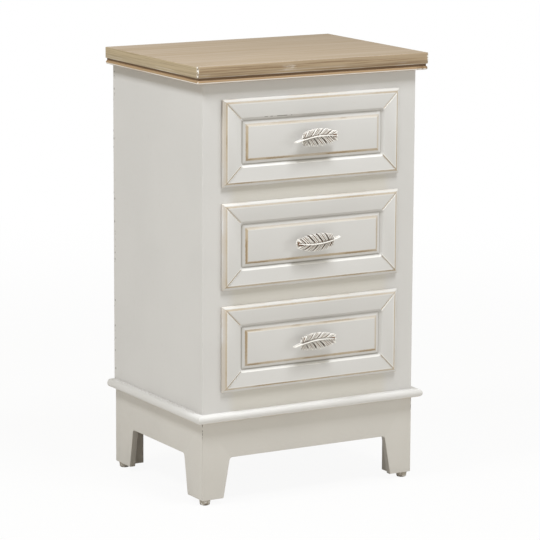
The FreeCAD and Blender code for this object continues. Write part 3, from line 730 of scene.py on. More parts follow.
class FrontFinish(Finish):
    """Paint of one drawer front, and where on it the forms and the wear lie.

    The rim is the distance from the front's outline. The turned rim follows the
    channel's rounded corners, and the frayed one wavers as worn paint does.
    """

    def __init__(self, level, middle, half):
        super().__init__(f"{level} drawer paint")
        profile = settings("fronts")
        self.middle = middle
        self.mitre = profile.mitre_depth
        self.bevel = profile.edge_width
        self.channel = self.bevel + profile.frame_flat
        self.floor = self.channel + profile.channel_cove
        self.field = self.floor + profile.channel_floor + profile.channel_slope
        place = self.axes(-middle)
        self.across, self.up = place[0], place[2]
        from_side = self.minus(half.x, self.absolute(self.across))
        from_end = self.minus(half.z, self.absolute(self.up))
        self.rim = self.math("MINIMUM", from_side, from_end)
        centre = self.channel + profile.channel_corner
        self.turned = self.rounded_rim(from_side, from_end, centre)
        rough = self.moved_noise(2, 320)
        self.frayed = self.scaled(rough, 1.2 * MM, self.minus(self.rim, 0.6 * MM))
        self.diagonal = self.minus(from_side, from_end)
        beside = self.below(self.diagonal, 0)
        self.to_left = self.all_of(beside, self.below(self.across, 0))
        self.at_foot = self.all_of(self.none_of(beside), self.below(self.up, 0))
        self.over = self.none_of(beside, self.at_foot)
        self.handled = self.any_of(self.to_left, self.at_foot)
        past_bevel = self.above(self.rim, self.bevel / 2)
        self.on_frame = self.all_of(past_bevel, self.below(self.rim, self.channel + MM))

    def moved_noise(self, times, scale, detail=3):
        """Noise that differs from drawer to drawer, moved by some times its place."""
        return self.noise(self.position(shift=-self.middle * times), scale, detail=detail)

    def rounded_rim(self, from_side, from_end, centre):
        """Distance from the outline, for a form whose corners turn about a centre."""
        aside = self.any_of(self.minus(centre, from_side), 0.0)
        above = self.any_of(self.minus(centre, from_end), 0.0)
        squares = self.scaled(aside, aside, self.all_of(above, above))
        slack = self.minus(self.math("POWER", squares, 0.5), self.any_of(aside, above))
        return self.minus(self.rim, slack)

    def highlights_and_ridges(self):
        """Painted highlights on the faces of the channel, the field and the edge that look up, and
        thick paint, lit as painted highlight, beside the bevel and the mitres.
        """
        by_mitre = self.line(self.diagonal, -self.mitre * 1.6, 0.8 * MM, 0.6 * MM)
        by_channel = self.line(self.turned, self.channel + 1.2 * MM, 0.8 * MM, 0.7 * MM)
        return self.any_of(
            self.all_of(0.4, self.line(self.rim, self.bevel + 0.8 * MM, 0.4 * MM, 0.5 * MM)),
            self.all_of(self.at_foot, by_channel),
            self.all_of(self.over, self.line(self.rim, self.field + 0.2 * MM, 0.9 * MM, 0.6 * MM)),
            self.all_of(self.over, 0.5, self.line(self.rim, 1.4 * MM, 1.2 * MM, 0.8 * MM)),
            self.all_of(by_mitre, self.on_frame),
        )

    def channel_shade(self):
        """Painted shade at the bottom of the channel, and a little on its cove at the top."""
        bottom = self.line(self.turned, self.floor + 0.5 * MM, 0.7 * MM, 0.6 * MM)
        cove = self.line(self.turned, self.channel + 2.5 * MM, 2.2 * MM, MM)
        return self.any_of(
            self.all_of(bottom, self.scaled(self.handled, 0.35, 0.25)),
            self.all_of(cove, self.over, 0.1),
        )

    def rubs(self):
        """Rubbed paint along the bevel, the field, the mitres and the edge."""
        strong = self.span(self.moved_noise(3, 19), 0.36, 0.6)
        patchy = self.scaled(strong, 0.3, 0.7)
        wide = self.line(self.frayed, self.bevel - 2.8 * MM, 2.2 * MM, 1.2 * MM)
        by_bevel = self.any_of(
            self.line(self.frayed, self.bevel - 1.4 * MM, 0.7 * MM, 1.1 * MM),
            self.all_of(self.to_left, 0.55, wide),
        )
        by_field = self.line(self.frayed, self.field - 1.2 * MM, 1.4 * MM, MM)
        in_mitre = self.line(self.diagonal, 0.0, self.mitre / 2, self.mitre / 2)
        at_edge = self.line(self.frayed, 0.2 * MM, 0.4 * MM, 0.6 * MM)
        return self.any_of(
            self.all_of(by_bevel, patchy, 0.75),
            self.all_of(by_field, patchy, self.scaled(self.handled, 0.35, 0.5)),
            self.all_of(in_mitre, self.on_frame, self.scaled(strong, 0.3, 0.45)),
            self.all_of(at_edge, strong, 0.35),
        )

    def worn_through(self):
        """Thin brown lines where the bevel and the field are worn to the wood."""
        by_bevel = self.line(self.frayed, self.bevel - 1.2 * MM, 0.4 * MM, 0.8 * MM)
        by_field = self.line(self.frayed, self.field - 1.6 * MM, 0.7 * MM, 0.8 * MM)
        places = self.span(self.moved_noise(5, 17, detail=2), 0.5, 0.62)
        often = self.scaled(self.handled, 0.35, 0.55)
        return self.all_of(self.any_of(self.all_of(by_bevel, 0.7), by_field), places, often)

    def dashes(self):
        """Short dark dashes along part of the channel's upper edge."""
        broken = self.noise(self.position(scale=(170, 8, 8)), 1, detail=1)
        return self.all_of(
            self.line(self.rim, self.channel + 0.6 * MM, 0.3 * MM, 0.4 * MM),
            self.above(self.up, 0),
            self.span(broken, 0.47, 0.52),
            self.line(self.across, -60 * MM, 22 * MM, 6 * MM),
        )


def front_paint(level, middle, half):
    """Paint of one drawer front, rubbed through along its arrises and mitres, with painted highlights
    and painted shade.
    """
    finish = FrontFinish(level, middle, half)
    colours = settings("finish")
    coat = base_paint(finish)
    # Painted highlights, partly thick paint, where the edges and upward faces catch the light.
    coat = finish.cover(coat, colours.pale_wear_and_highlight, finish.highlights_and_ridges(), 0.6)
    # Painted shade in the channel's bottom and its upper cove.
    coat = finish.cover(coat, colours.recess_shade, finish.channel_shade())
    coat = finish.cover(coat, colours.rubbed, finish.rubs())
    coat = finish.cover(coat, colours.bare, finish.worn_through())
    if level == "upper":
        coat = finish.cover(coat, colours.speck, finish.dashes(), 0.8)
    return finish.set(Base_Color=coat)


# How fine the oak's grain is along, across and through the board, and its sway


ALONG_GRAIN = 2.2
ACROSS_GRAIN = 95
THROUGH_GRAIN = 210
GRAIN_SWAY = 0.7


class OakFinish(Finish):
    """Limed oak of the top, and where on it the edges and the wear lie."""

    def __init__(self):
        super().__init__("limed oak")
        profile = settings("top")
        self.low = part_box("top_board")[0]
        self.slab_low = self.low.z + profile.bead_height + profile.groove_height
        facing = self.normal()
        self.at_end = self.above(self.absolute(facing[0]), 0.7)
        self.level_face = self.span(facing[2], 0.45, 0.8)
        self.on_edge = self.none_of(self.level_face)
        self.x, self.y, self.z = self.axes()
        self.grain = self.bent_grain()
        self.broad = self.noise(self.grain, 1, detail=4, roughness=0.6)
        self.pores = self.noise(self.grain, 4.5)

    def bent_grain(self):
        """Place along, across and through the grain, which sways a little."""
        run = self.add("ShaderNodeMix", Factor=self.at_end, A=self.x, B=self.y)
        side = self.add("ShaderNodeMix", Factor=self.at_end, A=self.y, B=self.x)
        drawn = self.add("ShaderNodeCombineXYZ", X=run, Y=side, Z=self.z)
        wavy = self.noise(drawn, 5, detail=2)
        return self.add(
            "ShaderNodeCombineXYZ",
            X=self.all_of(run, ALONG_GRAIN),
            Y=self.scaled(wavy, GRAIN_SWAY, self.all_of(side, ACROSS_GRAIN)),
            Z=self.scaled(wavy, GRAIN_SWAY, self.all_of(self.z, THROUGH_GRAIN)),
        )

    def bare_wood(self):
        """Grain of the face, and the browner one of the edges."""
        colours = settings("finish")
        streaks = self.span(self.broad, 0.36, 0.66)
        face = self.mix(streaks, colours.oak, colours.oak_streak)
        face = self.cover(face, colours.bare, self.span(self.pores, 0.5, 0.72), 0.3)
        edge = self.cover(colours.oak_edge, colours.oak_streak, streaks, 0.5)
        lines = self.noise(self.grain, 2.5, detail=4, roughness=0.7)
        edge = self.cover(edge, colours.oak_line, self.span(lines, 0.46, 0.62), 0.75)
        edge = self.cover(edge, colours.end_grain, self.at_end, 0.26)
        return self.mix(self.level_face, edge, face)

    def in_groove(self):
        """The groove, down to the bead's crown."""
        below_slab = self.fade(self.z, self.slab_low - 0.4 * MM, self.slab_low + 0.4 * MM)
        above_bead = self.span(self.z, self.low.z + 4.5 * MM, self.low.z + 6.5 * MM)
        return self.all_of(below_slab, above_bead)

    def limed_lines(self):
        """Worn lines along the bead's nose and the slab's lower edge, and a scratch."""
        lime = self.noise(self.position(scale=(14, 14, 60)), 1)
        nose = self.line(self.z, self.low.z + 1.4 * MM, 0.4 * MM, 0.6 * MM)
        scratch = self.line(self.z, self.slab_low + 4.5 * MM, 0.2 * MM, 0.5 * MM)
        lower_edge = self.line(self.z, self.slab_low + 0.4 * MM, 0.4 * MM, 0.7 * MM)
        return self.any_of(
            self.all_of(nose, self.span(lime, 0.3, 0.5, 0.45, 0.9)),
            self.all_of(scratch, self.span(lime, 0.46, 0.56), 0.16),
            self.all_of(lower_edge, self.span(lime, 0.4, 0.6, 0.05, 0.3)),
        )

    def worn_corners(self, wood):
        """Pale chips with dark specks down the front corners."""
        colours = settings("finish")
        across = self.minus(self.absolute(self.x), -self.low.x)
        reach = self.math("ADD", across, self.minus(self.low.y, self.y))
        arris = self.span(reach, -3 * MM, -1.4 * MM)
        broken = self.noise(self.position(), 330, detail=4, roughness=0.65)
        on_bead = self.line(self.z, self.low.z + 3.4 * MM, MM, 0.8 * MM)
        pale = self.any_of(on_bead, self.span(broken, 0.44, 0.56))
        wood = self.cover(wood, colours.pale_wear_and_highlight, arris, pale)
        return self.cover(wood, colours.speck, arris, self.fade(broken, 0.37, 0.42))

    def scuff(self):
        """A scuffed patch near the middle of the front edge."""
        scuffs = self.noise(self.position(scale=(200, 200, 620)), 1)
        return self.all_of(
            self.line(self.x, -45 * MM, 3 * MM, 12 * MM),
            self.line(self.z, self.slab_low + 8.5 * MM, MM, 5.5 * MM),
            self.span(scuffs, 0.25, 0.85),
            self.on_edge,
            self.below(self.y, 0),
        )

    def bruise(self):
        """Dark marks on the bead at the front's right end."""
        return self.all_of(
            self.line(self.x, 190 * MM, 7 * MM, 4 * MM),
            self.line(self.z, self.slab_low - 4.5 * MM, 3 * MM, 1.5 * MM),
            self.patches(240, 0.45, 0.55),
        )


def oak_finish():
    """Limed oak of the top: long grain, browner edges, a dark groove that is partly stain and partly
    painted shade, wear at the front.
    """
    finish = OakFinish()
    colours = settings("finish")
    bead = finish.fade(finish.z, finish.slab_low - 3 * MM, finish.slab_low - 1.2 * MM)
    wood = finish.cover(finish.bare_wood(), colours.oak_bead, bead, 0.85)
    # The groove is darkened, partly as stain and partly as painted shade under the slab.
    wood = finish.cover(wood, colours.groove_stain_and_shade, finish.in_groove(), 0.8)
    wood = finish.cover(wood, colours.pale_wear_and_highlight, finish.limed_lines(), finish.on_edge)
    wood = finish.worn_corners(wood)
    wood = finish.cover(wood, colours.pale_wear_and_highlight, finish.scuff(), 0.4)
    wood = finish.cover(wood, colours.groove_stain_and_shade, finish.bruise(), 0.7)
    height = finish.scaled(finish.pores, 0.6, finish.all_of(finish.broad, 0.4))
    finish.relief(height, 0.18 * MM, 0.6)
    roughness = finish.span(finish.pores, 0.3, 0.7, 0.46, 0.6)
    return finish.set(Base_Color=wood, Roughness=roughness, Specular_IOR_Level=0.35)


def plain_wood(name, stretch):
    """Unpainted wood whose grain runs along the axis that is stretched least."""
    finish = Finish(name)
    colours = settings("finish")
    place = finish.position(scale=stretch)
    broad = finish.noise(place, 2, detail=4, roughness=0.6, distortion=0.4)
    fine = finish.noise(place, 14)
    wood = finish.mix(finish.span(broad, 0.38, 0.7), colours.raw_wood, colours.raw_streak)
    wood = finish.cover(wood, colours.raw_streak, finish.span(fine, 0.52, 0.75), 0.35)
    finish.surface(fine, 0.6, 0.75, 0.15 * MM, 0.6)
    return finish.set(Base_Color=wood, Specular_IOR_Level=0.25)


def plywood_finish(painted_edges=False):
    """Thin plywood with wide flat grain; the back's edges are painted with the case."""
    finish = Finish("painted-edge plywood" if painted_edges else "plywood")
    colours = settings("finish")
    figure = finish.noise(finish.position(scale=(2.4, 40, 40)), 2.2, detail=4, distortion=0.4)
    fine = finish.noise(finish.position(scale=(20, 300, 300)), 1)
    dark = toned(colours.plywood, 0.84)
    wood = finish.mix(finish.span(figure, 0.35, 0.7), colours.plywood, dark)
    wood = finish.cover(wood, dark, finish.span(fine, 0.5, 0.7), 0.4)
    if painted_edges:
        on_edge = finish.below(finish.absolute(finish.normal()[1]), 0.5)
        coat = finish.mix(rear_chips(finish), colours.paint, colours.speck)
        wood = finish.mix(on_edge, wood, coat)
    finish.surface(fine, 0.62, 0.78, 0.12 * MM, 0.5)
    return finish.set(Base_Color=wood, Specular_IOR_Level=0.25)


def knob_finish():
    """Cast metal painted off-white, with a brown wash left in the hollows and painted highlights
    whitening the crests.
    """
    finish = Finish("antiqued white")
    colours = settings("finish")
    cavity = finish.add("ShaderNodeAttribute", output=2, attribute_name="hollows")
    blotch = finish.noise(finish.position(), 190)
    hollow = finish.span(cavity, -0.15, 0.2)
    uneven = finish.span(blotch, 0.3, 0.55, 0.75, 1.0)
    coat = finish.cover(colours.knob, colours.knob_shade, hollow, uneven)
    coat = finish.cover(coat, colours.knob_pool, finish.span(cavity, 0.5, 0.9), 0.85)
    # Painted highlight: the crests are whitened past the knob's own paint.
    coat = finish.cover(coat, colours.pale_wear_and_highlight, finish.fade(cavity, -0.9, -0.2), 0.55)
    finish.surface(blotch, 0.36, 0.52, 0.1 * MM, 0.4)
    return finish.set(Base_Color=coat, Specular_IOR_Level=0.45)


def steel_finish():
    """Bright zinc-plated steel of the screws and nails."""
    finish = Finish("zinc steel")
    steel = settings("finish").steel
    dull = finish.noise(finish.position(), 420)
    tone = finish.mix(finish.span(dull, 0.3, 0.7), steel, toned(steel, 0.7))
    roughness = finish.span(dull, 0.2, 0.8, 0.28, 0.45)
    return finish.set(Base_Color=tone, Metallic=1.0, Roughness=roughness)


def glide_finish():
    """Pads painted roughly with the base, with brown showing through."""
    finish = Finish("painted glide")
    colours = settings("finish")
    place = finish.position()
    blotch = finish.noise(place, 230, detail=4, roughness=0.65)
    low_down = finish.span(finish.split(place)[2], 0.5 * MM, 5 * MM, 1.0, 0.15)
    coat = finish.mix(finish.span(blotch, 0.3, 0.6), colours.paint, colours.glide)
    coat = finish.cover(coat, colours.knob_shade, finish.span(blotch, 0.46, 0.56), low_down)
    finish.surface(blotch, 0.45, 0.7, 0.6 * MM, 0.6)
    return finish.set(Base_Color=coat)


# Pieces


def make_top():
    """The top board: a slab over a groove and a rounded bead, on three sides."""
    profile = settings("top")
    low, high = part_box("top_board")
    bead_high = low.z + profile.bead_height
    slab_low = bead_high + profile.groove_height
    top = add_block("top", (low.x, low.y, slab_low), high)
    round_edges(top, profile.arris, 4, along("z", x=(low.x, high.x), y=(low.y,)))
    round_edges(top, profile.rim_arris, 3, level_edges(high.y, slab_low, high.z))
    back = profile.bead_setback
    bead = add_block(
        "bead", (low.x + back, low.y + back, low.z), (high.x - back, high.y, bead_high)
    )
    round_edges(bead, profile.bead_rounding, 5, level_edges(high.y, low.z))
    round_edges(bead, profile.bead_slope, 6, level_edges(high.y, bead_high))
    deep = profile.groove_depth
    core = add_block(
        "core",
        (low.x + deep, low.y + deep, low.z + MM),
        (high.x - deep, high.y, high.z - 3 * MM),
    )
    cut(bead, core, "UNION")
    cut(top, bead, "UNION")
    smooth(top)
    dress(top, "root", "limed_oak", oak_finish(), "top_board")


def make_case(material):
    """Stiles with rounded corners; the other parts of the case are painted."""
    corner = settings("base").case_corner
    for side in SIDES:
        node = f"face_stile_{side}"
        low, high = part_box(node)
        outer = low.x if side == "left" else high.x
        stile = add_block(f"stile_{side}", low, high)
        round_edges(stile, corner, 4, along("z", x=(outer,), y=(low.y,)))
        smooth(stile)
        dress(stile, "root", "white_paint", material, node)
    rails = [f"face_rail_{name}" for name in ("top", "upper", "lower", "bottom")]
    paint_nodes(material, rails + [f"side_panel_{side}" for side in SIDES])


def shape_apron(name, low, high, foot):
    """One side of the base along X, arched between two legs and mitred."""
    base = settings("base")
    apron = add_block(name, low, high)
    top = low.z + base.arch_height
    foot_low, foot_high = low.x + foot, high.x - foot
    slope = base.leg_taper / base.arch_height * MM
    arch = add_block(
        "arch",
        (foot_low - slope, low.y - MM, low.z - MM),
        (foot_high + slope, high.y + MM, top),
    )
    opening = foot_high - foot_low
    narrow = (opening - base.leg_taper * 2) / (opening + slope * 2)
    pick_faces(arch, UP)
    resize((narrow, 1, 1), (0, 0, top))
    round_edges(arch, base.arch_rounding, 6, along("y", z=(top,)))
    cut(apron, arch)

    def lower_edge(first, second):
        on_face = near(first.y, second.y)
        at_top = near(max(first.z, second.z), high.z)
        at_end = near(abs(first.x), high.x) and near(abs(second.x), high.x)
        return on_face and not at_top and not at_end

    round_edges(apron, base.softness, 3, lower_edge)
    for side, corner in ((-1, low.x), (1, high.x)):
        mitre(apron, (corner, low.y, 0), (side, 1, 0))
    round_edges(apron, base.corner_seam, 2, along("z", x=(low.x, high.x), y=(low.y,)))
    smooth(apron)
    return apron


def make_aprons(material):
    """Front and rear aprons from one shape, and the two sides from another."""
    base = settings("base")
    low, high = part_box("apron_front")
    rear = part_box("apron_rear")[1]
    front = shape_apron("base_front", low, high, base.front_foot)
    turned = half_turn((0, (low.y + rear.y) / 2, 0), "Z")
    dress(copy_piece(front, "base_rear", turned), "root", "white_paint", material, "apron_rear")
    dress(front, "root", "white_paint", material, "apron_front")
    low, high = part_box("apron_left")
    half = (high.y - low.y) / 2
    flat_low = Vector((-half, 0, low.z))
    flat_high = Vector((half, high.x - low.x, high.z))
    shape = shape_apron("base_side", flat_low, flat_high, base.side_foot)
    for side, edge, degrees in (("left", low.x, -90), ("right", -low.x, 90)):
        turn = Matrix.Rotation(math.radians(degrees), 4, "Z")
        matrix = Matrix.Translation((edge, (low.y + high.y) / 2, 0)) @ turn
        piece = copy_piece(shape, f"base_{side}", matrix)
        dress(piece, "root", "white_paint", material, f"apron_{side}")
    bpy.data.objects.remove(shape)


def make_mouldings():
    """Half-round mouldings over the joint of the case and the base."""
    nose = settings("base").nose
    material = moulding_paint()
    base_low, base_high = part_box("apron_front")
    low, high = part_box("plinth_moulding_front")
    front = add_block("moulding_front", low, high)
    round_edges(front, nose, 9, along("x", y=(low.y,)))
    for side in (-1, 1):
        mitre(front, (base_high.x * side, high.y, 0), (side, 1, 0))
    smooth(front)
    dress(front, "root", "white_paint", material, "plinth_moulding_front")
    low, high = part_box("plinth_moulding_left")
    left = add_block("moulding_left", low, high)
    round_edges(left, nose, 9, along("y", x=(low.x,)))
    mitre(left, (high.x, base_low.y, 0), (1, -1, 0))
    smooth(left)
    mirrored = copy_piece(left, "moulding_right", Matrix.Scale(-1, 4, (1, 0, 0)))
    edit(mirrored, "FACE", "SELECT")
    bpy.ops.mesh.normals_make_consistent(inside=False)
    clear_selection()
    dress(left, "root", "white_paint", material, "plinth_moulding_left")
    dress(mirrored, "root", "white_paint", material, "plinth_moulding_right")


def make_glides():
    """Four turned pads, narrower at the floor."""
    base = settings("base")
    low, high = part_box("foot_glides")
    inset = low.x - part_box("apron_front")[0].x
    radius = base.glide_inset - inset
    narrow = 1 - base.glide_taper / radius

    def at_foot(first, second):
        return near(max(first.z, second.z), low.z)

    pads = []
    for x in (low.x + radius, high.x - radius):
        for y in (low.y + radius, high.y - radius):
            clear_selection()
            bpy.ops.mesh.primitive_cylinder_add(
                vertices=40,
                radius=radius,
                depth=high.z - low.z,
                location=(x, y, (low.z + high.z) / 2),
            )
            pad = settle("pad")
            pick_faces(pad, -UP)
            resize((narrow, narrow, 1), (x, y, low.z))
            round_edges(pad, base.glide_rounding, 4, at_foot)
            pads.append(pad)
    glides = join("glides", pads)
    smooth(glides)
    dress(glides, "root", "glide", glide_finish(), "foot_glides")


# The channel's cutter turns tighter at its floor, and the mitres' grooves reach
# a little into the channel's corners


FLOOR_CORNER = 0.8
MITRE_REACH = 0.3


def tapered(name, middle, rear_y, rear_size, front_y, front_size, rounding=0.0):
    """A block along Y whose rear and front faces have different sizes."""
    half_x, half_z = rear_size[0] / 2, rear_size[1] / 2
    block = add_block(
        name,
        (middle.x - half_x, front_y, middle.z - half_z),
        (middle.x + half_x, rear_y, middle.z + half_z),
    )
    if rounding:
        round_edges(block, rounding, 7, along("y"))
    pick_faces(block, FRONT)
    wide = front_size[0] / rear_size[0]
    tall = front_size[1] / rear_size[1]
    resize((wide, 1, tall), (middle.x, front_y, middle.z))
    return block


def widened(size, amount):
    """A width and height that both grow by an amount, or shrink."""
    return [value + amount for value in size]


def channel_cutter(middle, front_y, recess):
    """The channel between the frame and the raised field, as a solid."""
    profile = settings("fronts")
    depth = profile.channel_depth
    cove = profile.channel_cove * 2
    slope = profile.channel_slope * 2
    over = MM / 2
    floor_y = front_y + depth
    floor = widened(recess, -cove)
    mouth = widened(recess, cove * over / depth)
    corner = profile.channel_corner * FLOOR_CORNER
    cutter = tapered("channel", middle, floor_y, floor, front_y - over, mouth, corner)
    foot = widened(floor, -profile.channel_floor * 2)
    deeper = widened(foot, slope * over / depth)
    crest = widened(foot, -slope * (depth + over * 2) / depth)
    field = tapered("field", middle, floor_y + over, deeper, front_y - over * 2, crest)
    cut(cutter, field)
    return cutter


def mitre_cutters(middle, front_y, half):
    """Four bars on edge, which cut a V along each mitre of the frame."""
    profile = settings("fronts")
    side = profile.mitre_depth * math.sqrt(2)
    start = profile.edge_width / 2
    end = profile.edge_width + profile.frame_flat + profile.channel_corner * MITRE_REACH
    inward = (start + end) / 2
    extent = Vector(((end - start) / math.sqrt(2), side / 2, side / 2))
    bars = []
    for x_side in (-1, 1):
        for z_side in (-1, 1):
            place = Vector((
                middle.x + (half.x - inward) * x_side,
                front_y,
                middle.z + (half.z - inward) * z_side,
            ))
            turn = -math.pi / 4 * x_side * z_side
            bars.append(add_block("bar", place - extent, place + extent, (math.pi / 4, turn, 0)))
    return join("bars", bars)


def make_front_shape():
    """One drawer front: lip, bevel, rebate, channel, field and mitre grooves."""
    profile = settings("fronts")
    low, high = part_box("upper_drawer_front")
    middle = (low + high) / 2
    half = (high - low) / 2
    lip_rear = low.y + profile.lip_thickness
    square = low.y + profile.edge_depth
    front = add_block("front", (low.x, square, low.z), (high.x, lip_rear, high.z))
    pick_faces(front, FRONT)
    bpy.ops.mesh.inset(thickness=profile.edge_width, depth=profile.edge_depth)
    clear_selection()
    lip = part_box("upper_drawer_side_left")[0].x - low.x
    pick_faces(front, -FRONT)
    bpy.ops.mesh.inset(thickness=lip, depth=0)
    bpy.ops.mesh.extrude_region_move(
        TRANSFORM_OT_translate={"value": (0, high.y - lip_rear, 0)}
    )
    clear_selection()
    panel_low, panel_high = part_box("upper_drawer_bottom")
    play = MM / 5
    slot = add_block(
        "slot",
        (panel_low.x - play, panel_low.y - play, panel_low.z),
        (panel_high.x + play, high.y + MM, panel_high.z + play),
    )
    cut(front, slot)
    rim = (profile.edge_width + profile.frame_flat) * 2
    recess = widened((high.x - low.x, high.z - low.z), -rim)
    cut(front, channel_cutter(middle, low.y, recess))
    cut(front, mitre_cutters(middle, low.y, half))
    soften(front, profile.softness)
    smooth(front)
    return front, middle, half


def make_fronts():
    """Three drawer fronts from one shape, each with its own wear."""
    shape, middle, half = make_front_shape()
    for level in LEVELS:
        node = f"{level}_drawer_front"
        place = middle_of(node)
        piece = copy_piece(shape, f"{level}_front", Matrix.Translation(place - middle))
        material = front_paint(level, place, half)
        dress(piece, f"{level}_drawer", "white_paint", material, node)
    bpy.data.objects.remove(shape)


# Shape of the feather: places along it are shares of its length from the stem,
# and heights are shares of its width, as in the solids


SHAFT_TOP = 0.15
SHAFT_PEAK = 0.10
SHAFT_BEND = 0.75
QUILL_TIP = -0.515
SHAFT_END = 0.44
VANE_START = -0.36
VANE_END = 0.43
ROOT_START = -0.38
BARB_LEAN = 0.02
BARB_REACH = 0.52
FULLNESS = 0.7
RAGGED = 0.05
WOBBLE_STEP = 2.4
SHAFT_STATIONS = 12
SHAFT_NARROWING = 0.68
QUILL_WIDTH = 0.5
QUILL_SINK = 1.2 * MM
TIP_SINK = 1.4 * MM
VANES = (
    {"side": 1, "reach": 0.42, "phase": 0.30, "sweep": 0.55, "steep": 62, "flatten": 34, "split": 2},
    {"side": -1, "reach": 0.57, "phase": 0.16, "sweep": 0.76, "steep": 70, "flatten": 32, "split": 4},
)


# Every few barbs, one is shorter, thinner and deeper: a split in the vane


SPLIT_EVERY = 5
SPLIT_REACH = 0.84
SPLIT_WIDTH = 0.75
SPLIT_DEPTH = 0.5 * MM


# The wash: how the hollows are found, how wide and strong it pools beside the
# shaft and at the tip, and where the lines between the barbs lie and how they fade


HOLLOW_SMOOTHING = 22
HOLLOW_DEPTH = 0.09 * MM
SHAFT_POOL = 1.3 * MM
SHAFT_WASH = 0.75
TIP_POOL = 2.4 * MM
TIP_WASH = 0.5
TIP_LENGTH = 0.12
LINES_OFF_SHAFT = 1.2 * MM
LINES_END = 0.38
LINE_START = 0.6 * MM
LINE_FADE = 0.35 * MM
LINE_WASH = 0.3
UNEVEN_LINE = 0.15 * MM
SPLIT_LINE = 0.2 * MM


def shaft_height(share):
    """Height of the feather's shaft at a place along it."""
    return SHAFT_TOP - SHAFT_BEND * (share - SHAFT_PEAK) ** 2


def wobble(index):
    """A number between -1 and 1 that varies from barb to barb."""
    return math.sin(index * WOBBLE_STEP)


def limited(value, low, high):
    """A value kept between two others."""
    return min(max(value, low), high)


def add_barb(root, tip, width, thickness):
    """One barb: a long oval from the shaft to the margin."""
    clear_selection()
    run = tip - root
    bpy.ops.mesh.primitive_uv_sphere_add(
        segments=12,
        ring_count=8,
        radius=1,
        location=(root + tip) / 2,
        rotation=run.to_track_quat("X", "Y").to_euler(),
        scale=(run.length * BARB_REACH, thickness / 2, width / 2),
    )
    return settle("barb")


def barb_axes(vane, middle, rim_y, crown_y):
    """Root and tip of each barb of one vane, and whether it lies in a split."""
    shape = settings("knobs")
    long, tall = shape.feather_length, shape.feather_width
    side = vane["side"]
    axes = []
    for index in range(shape.barbs):
        share = (index + 0.5) / shape.barbs
        split = index % SPLIT_EVERY == vane["split"]
        at_tip = VANE_START + (VANE_END - VANE_START) * share + BARB_LEAN * (1 + share)
        swell = math.sin(math.pi * (vane["phase"] + vane["sweep"] * share)) ** FULLNESS
        cropped = SPLIT_REACH if split else 1 + RAGGED * wobble(index)
        reach = vane["reach"] * swell * tall * cropped
        slope = math.tan(math.radians(vane["steep"] - vane["flatten"] * share))
        at_root = max(at_tip - reach / slope / long, ROOT_START)
        sunk = SPLIT_DEPTH if split else 0
        root_off = tall * shaft_height(at_root) + side * shape.valley
        tip_off = tall * shaft_height(at_tip) + side * reach
        root = Vector((middle.x + long * at_root, crown_y + sunk, middle.z + root_off))
        tip = Vector((middle.x + long * at_tip, rim_y + sunk, middle.z + tip_off))
        axes.append((root, tip, split))
    return axes


def make_vane(axes):
    """The barbs of one side of the feather."""
    shape = settings("knobs")
    barbs = []
    for root, tip, split in axes:
        width = shape.barb_width * (SPLIT_WIDTH if split else 1)
        barbs.append(add_barb(root, tip, width, shape.barb_thickness))
    return barbs


def off_barb(place, axes):
    """Distance from the nearest barb's middle line, seen from the front."""
    nearest = math.inf
    for index, (root, tip, split) in enumerate(axes):
        run_x, run_z = tip.x - root.x, tip.z - root.z
        off_x, off_z = place.x - root.x, place.z - root.z
        share = (off_x * run_x + off_z * run_z) / (run_x * run_x + run_z * run_z)
        share = limited(share, 0, 1)
        off = math.hypot(off_x - share * run_x, off_z - share * run_z)
        uneven = UNEVEN_LINE * wobble(index) - (SPLIT_LINE if split else 0)
        nearest = min(nearest, off + uneven)
    return nearest


def make_shaft(middle, crown_y):
    """The feather's shaft, a tapering rod that ends in the bare quill."""
    shape = settings("knobs")
    line = bpy.data.curves.new("shaft", "CURVE")
    line.dimensions = "3D"
    line.bevel_depth = 1
    line.bevel_resolution = 4
    line.use_fill_caps = True
    spline = line.splines.new("NURBS")
    spline.points.add(SHAFT_STATIONS - 1)
    for index, point in enumerate(spline.points):
        share = index / (SHAFT_STATIONS - 1)
        place = QUILL_TIP + (SHAFT_END - QUILL_TIP) * share
        sunk = QUILL_SINK * max(0, 1 - share * 5) + TIP_SINK * max(0, share * 3 - 2)
        point.co = (
            middle.x + shape.feather_length * place,
            crown_y + sunk,
            middle.z + shape.feather_width * shaft_height(place),
            1,
        )
        narrowed = 1 - SHAFT_NARROWING * share if index else QUILL_WIDTH
        point.radius = shape.shaft_width / 2 * narrowed
    spline.order_u = 3
    spline.use_endpoint_u = True
    shaft = bpy.data.objects.new("shaft", line)
    bpy.context.scene.collection.objects.link(shaft)
    activate(shaft)
    bpy.ops.object.convert(target="MESH")
    return bpy.context.object


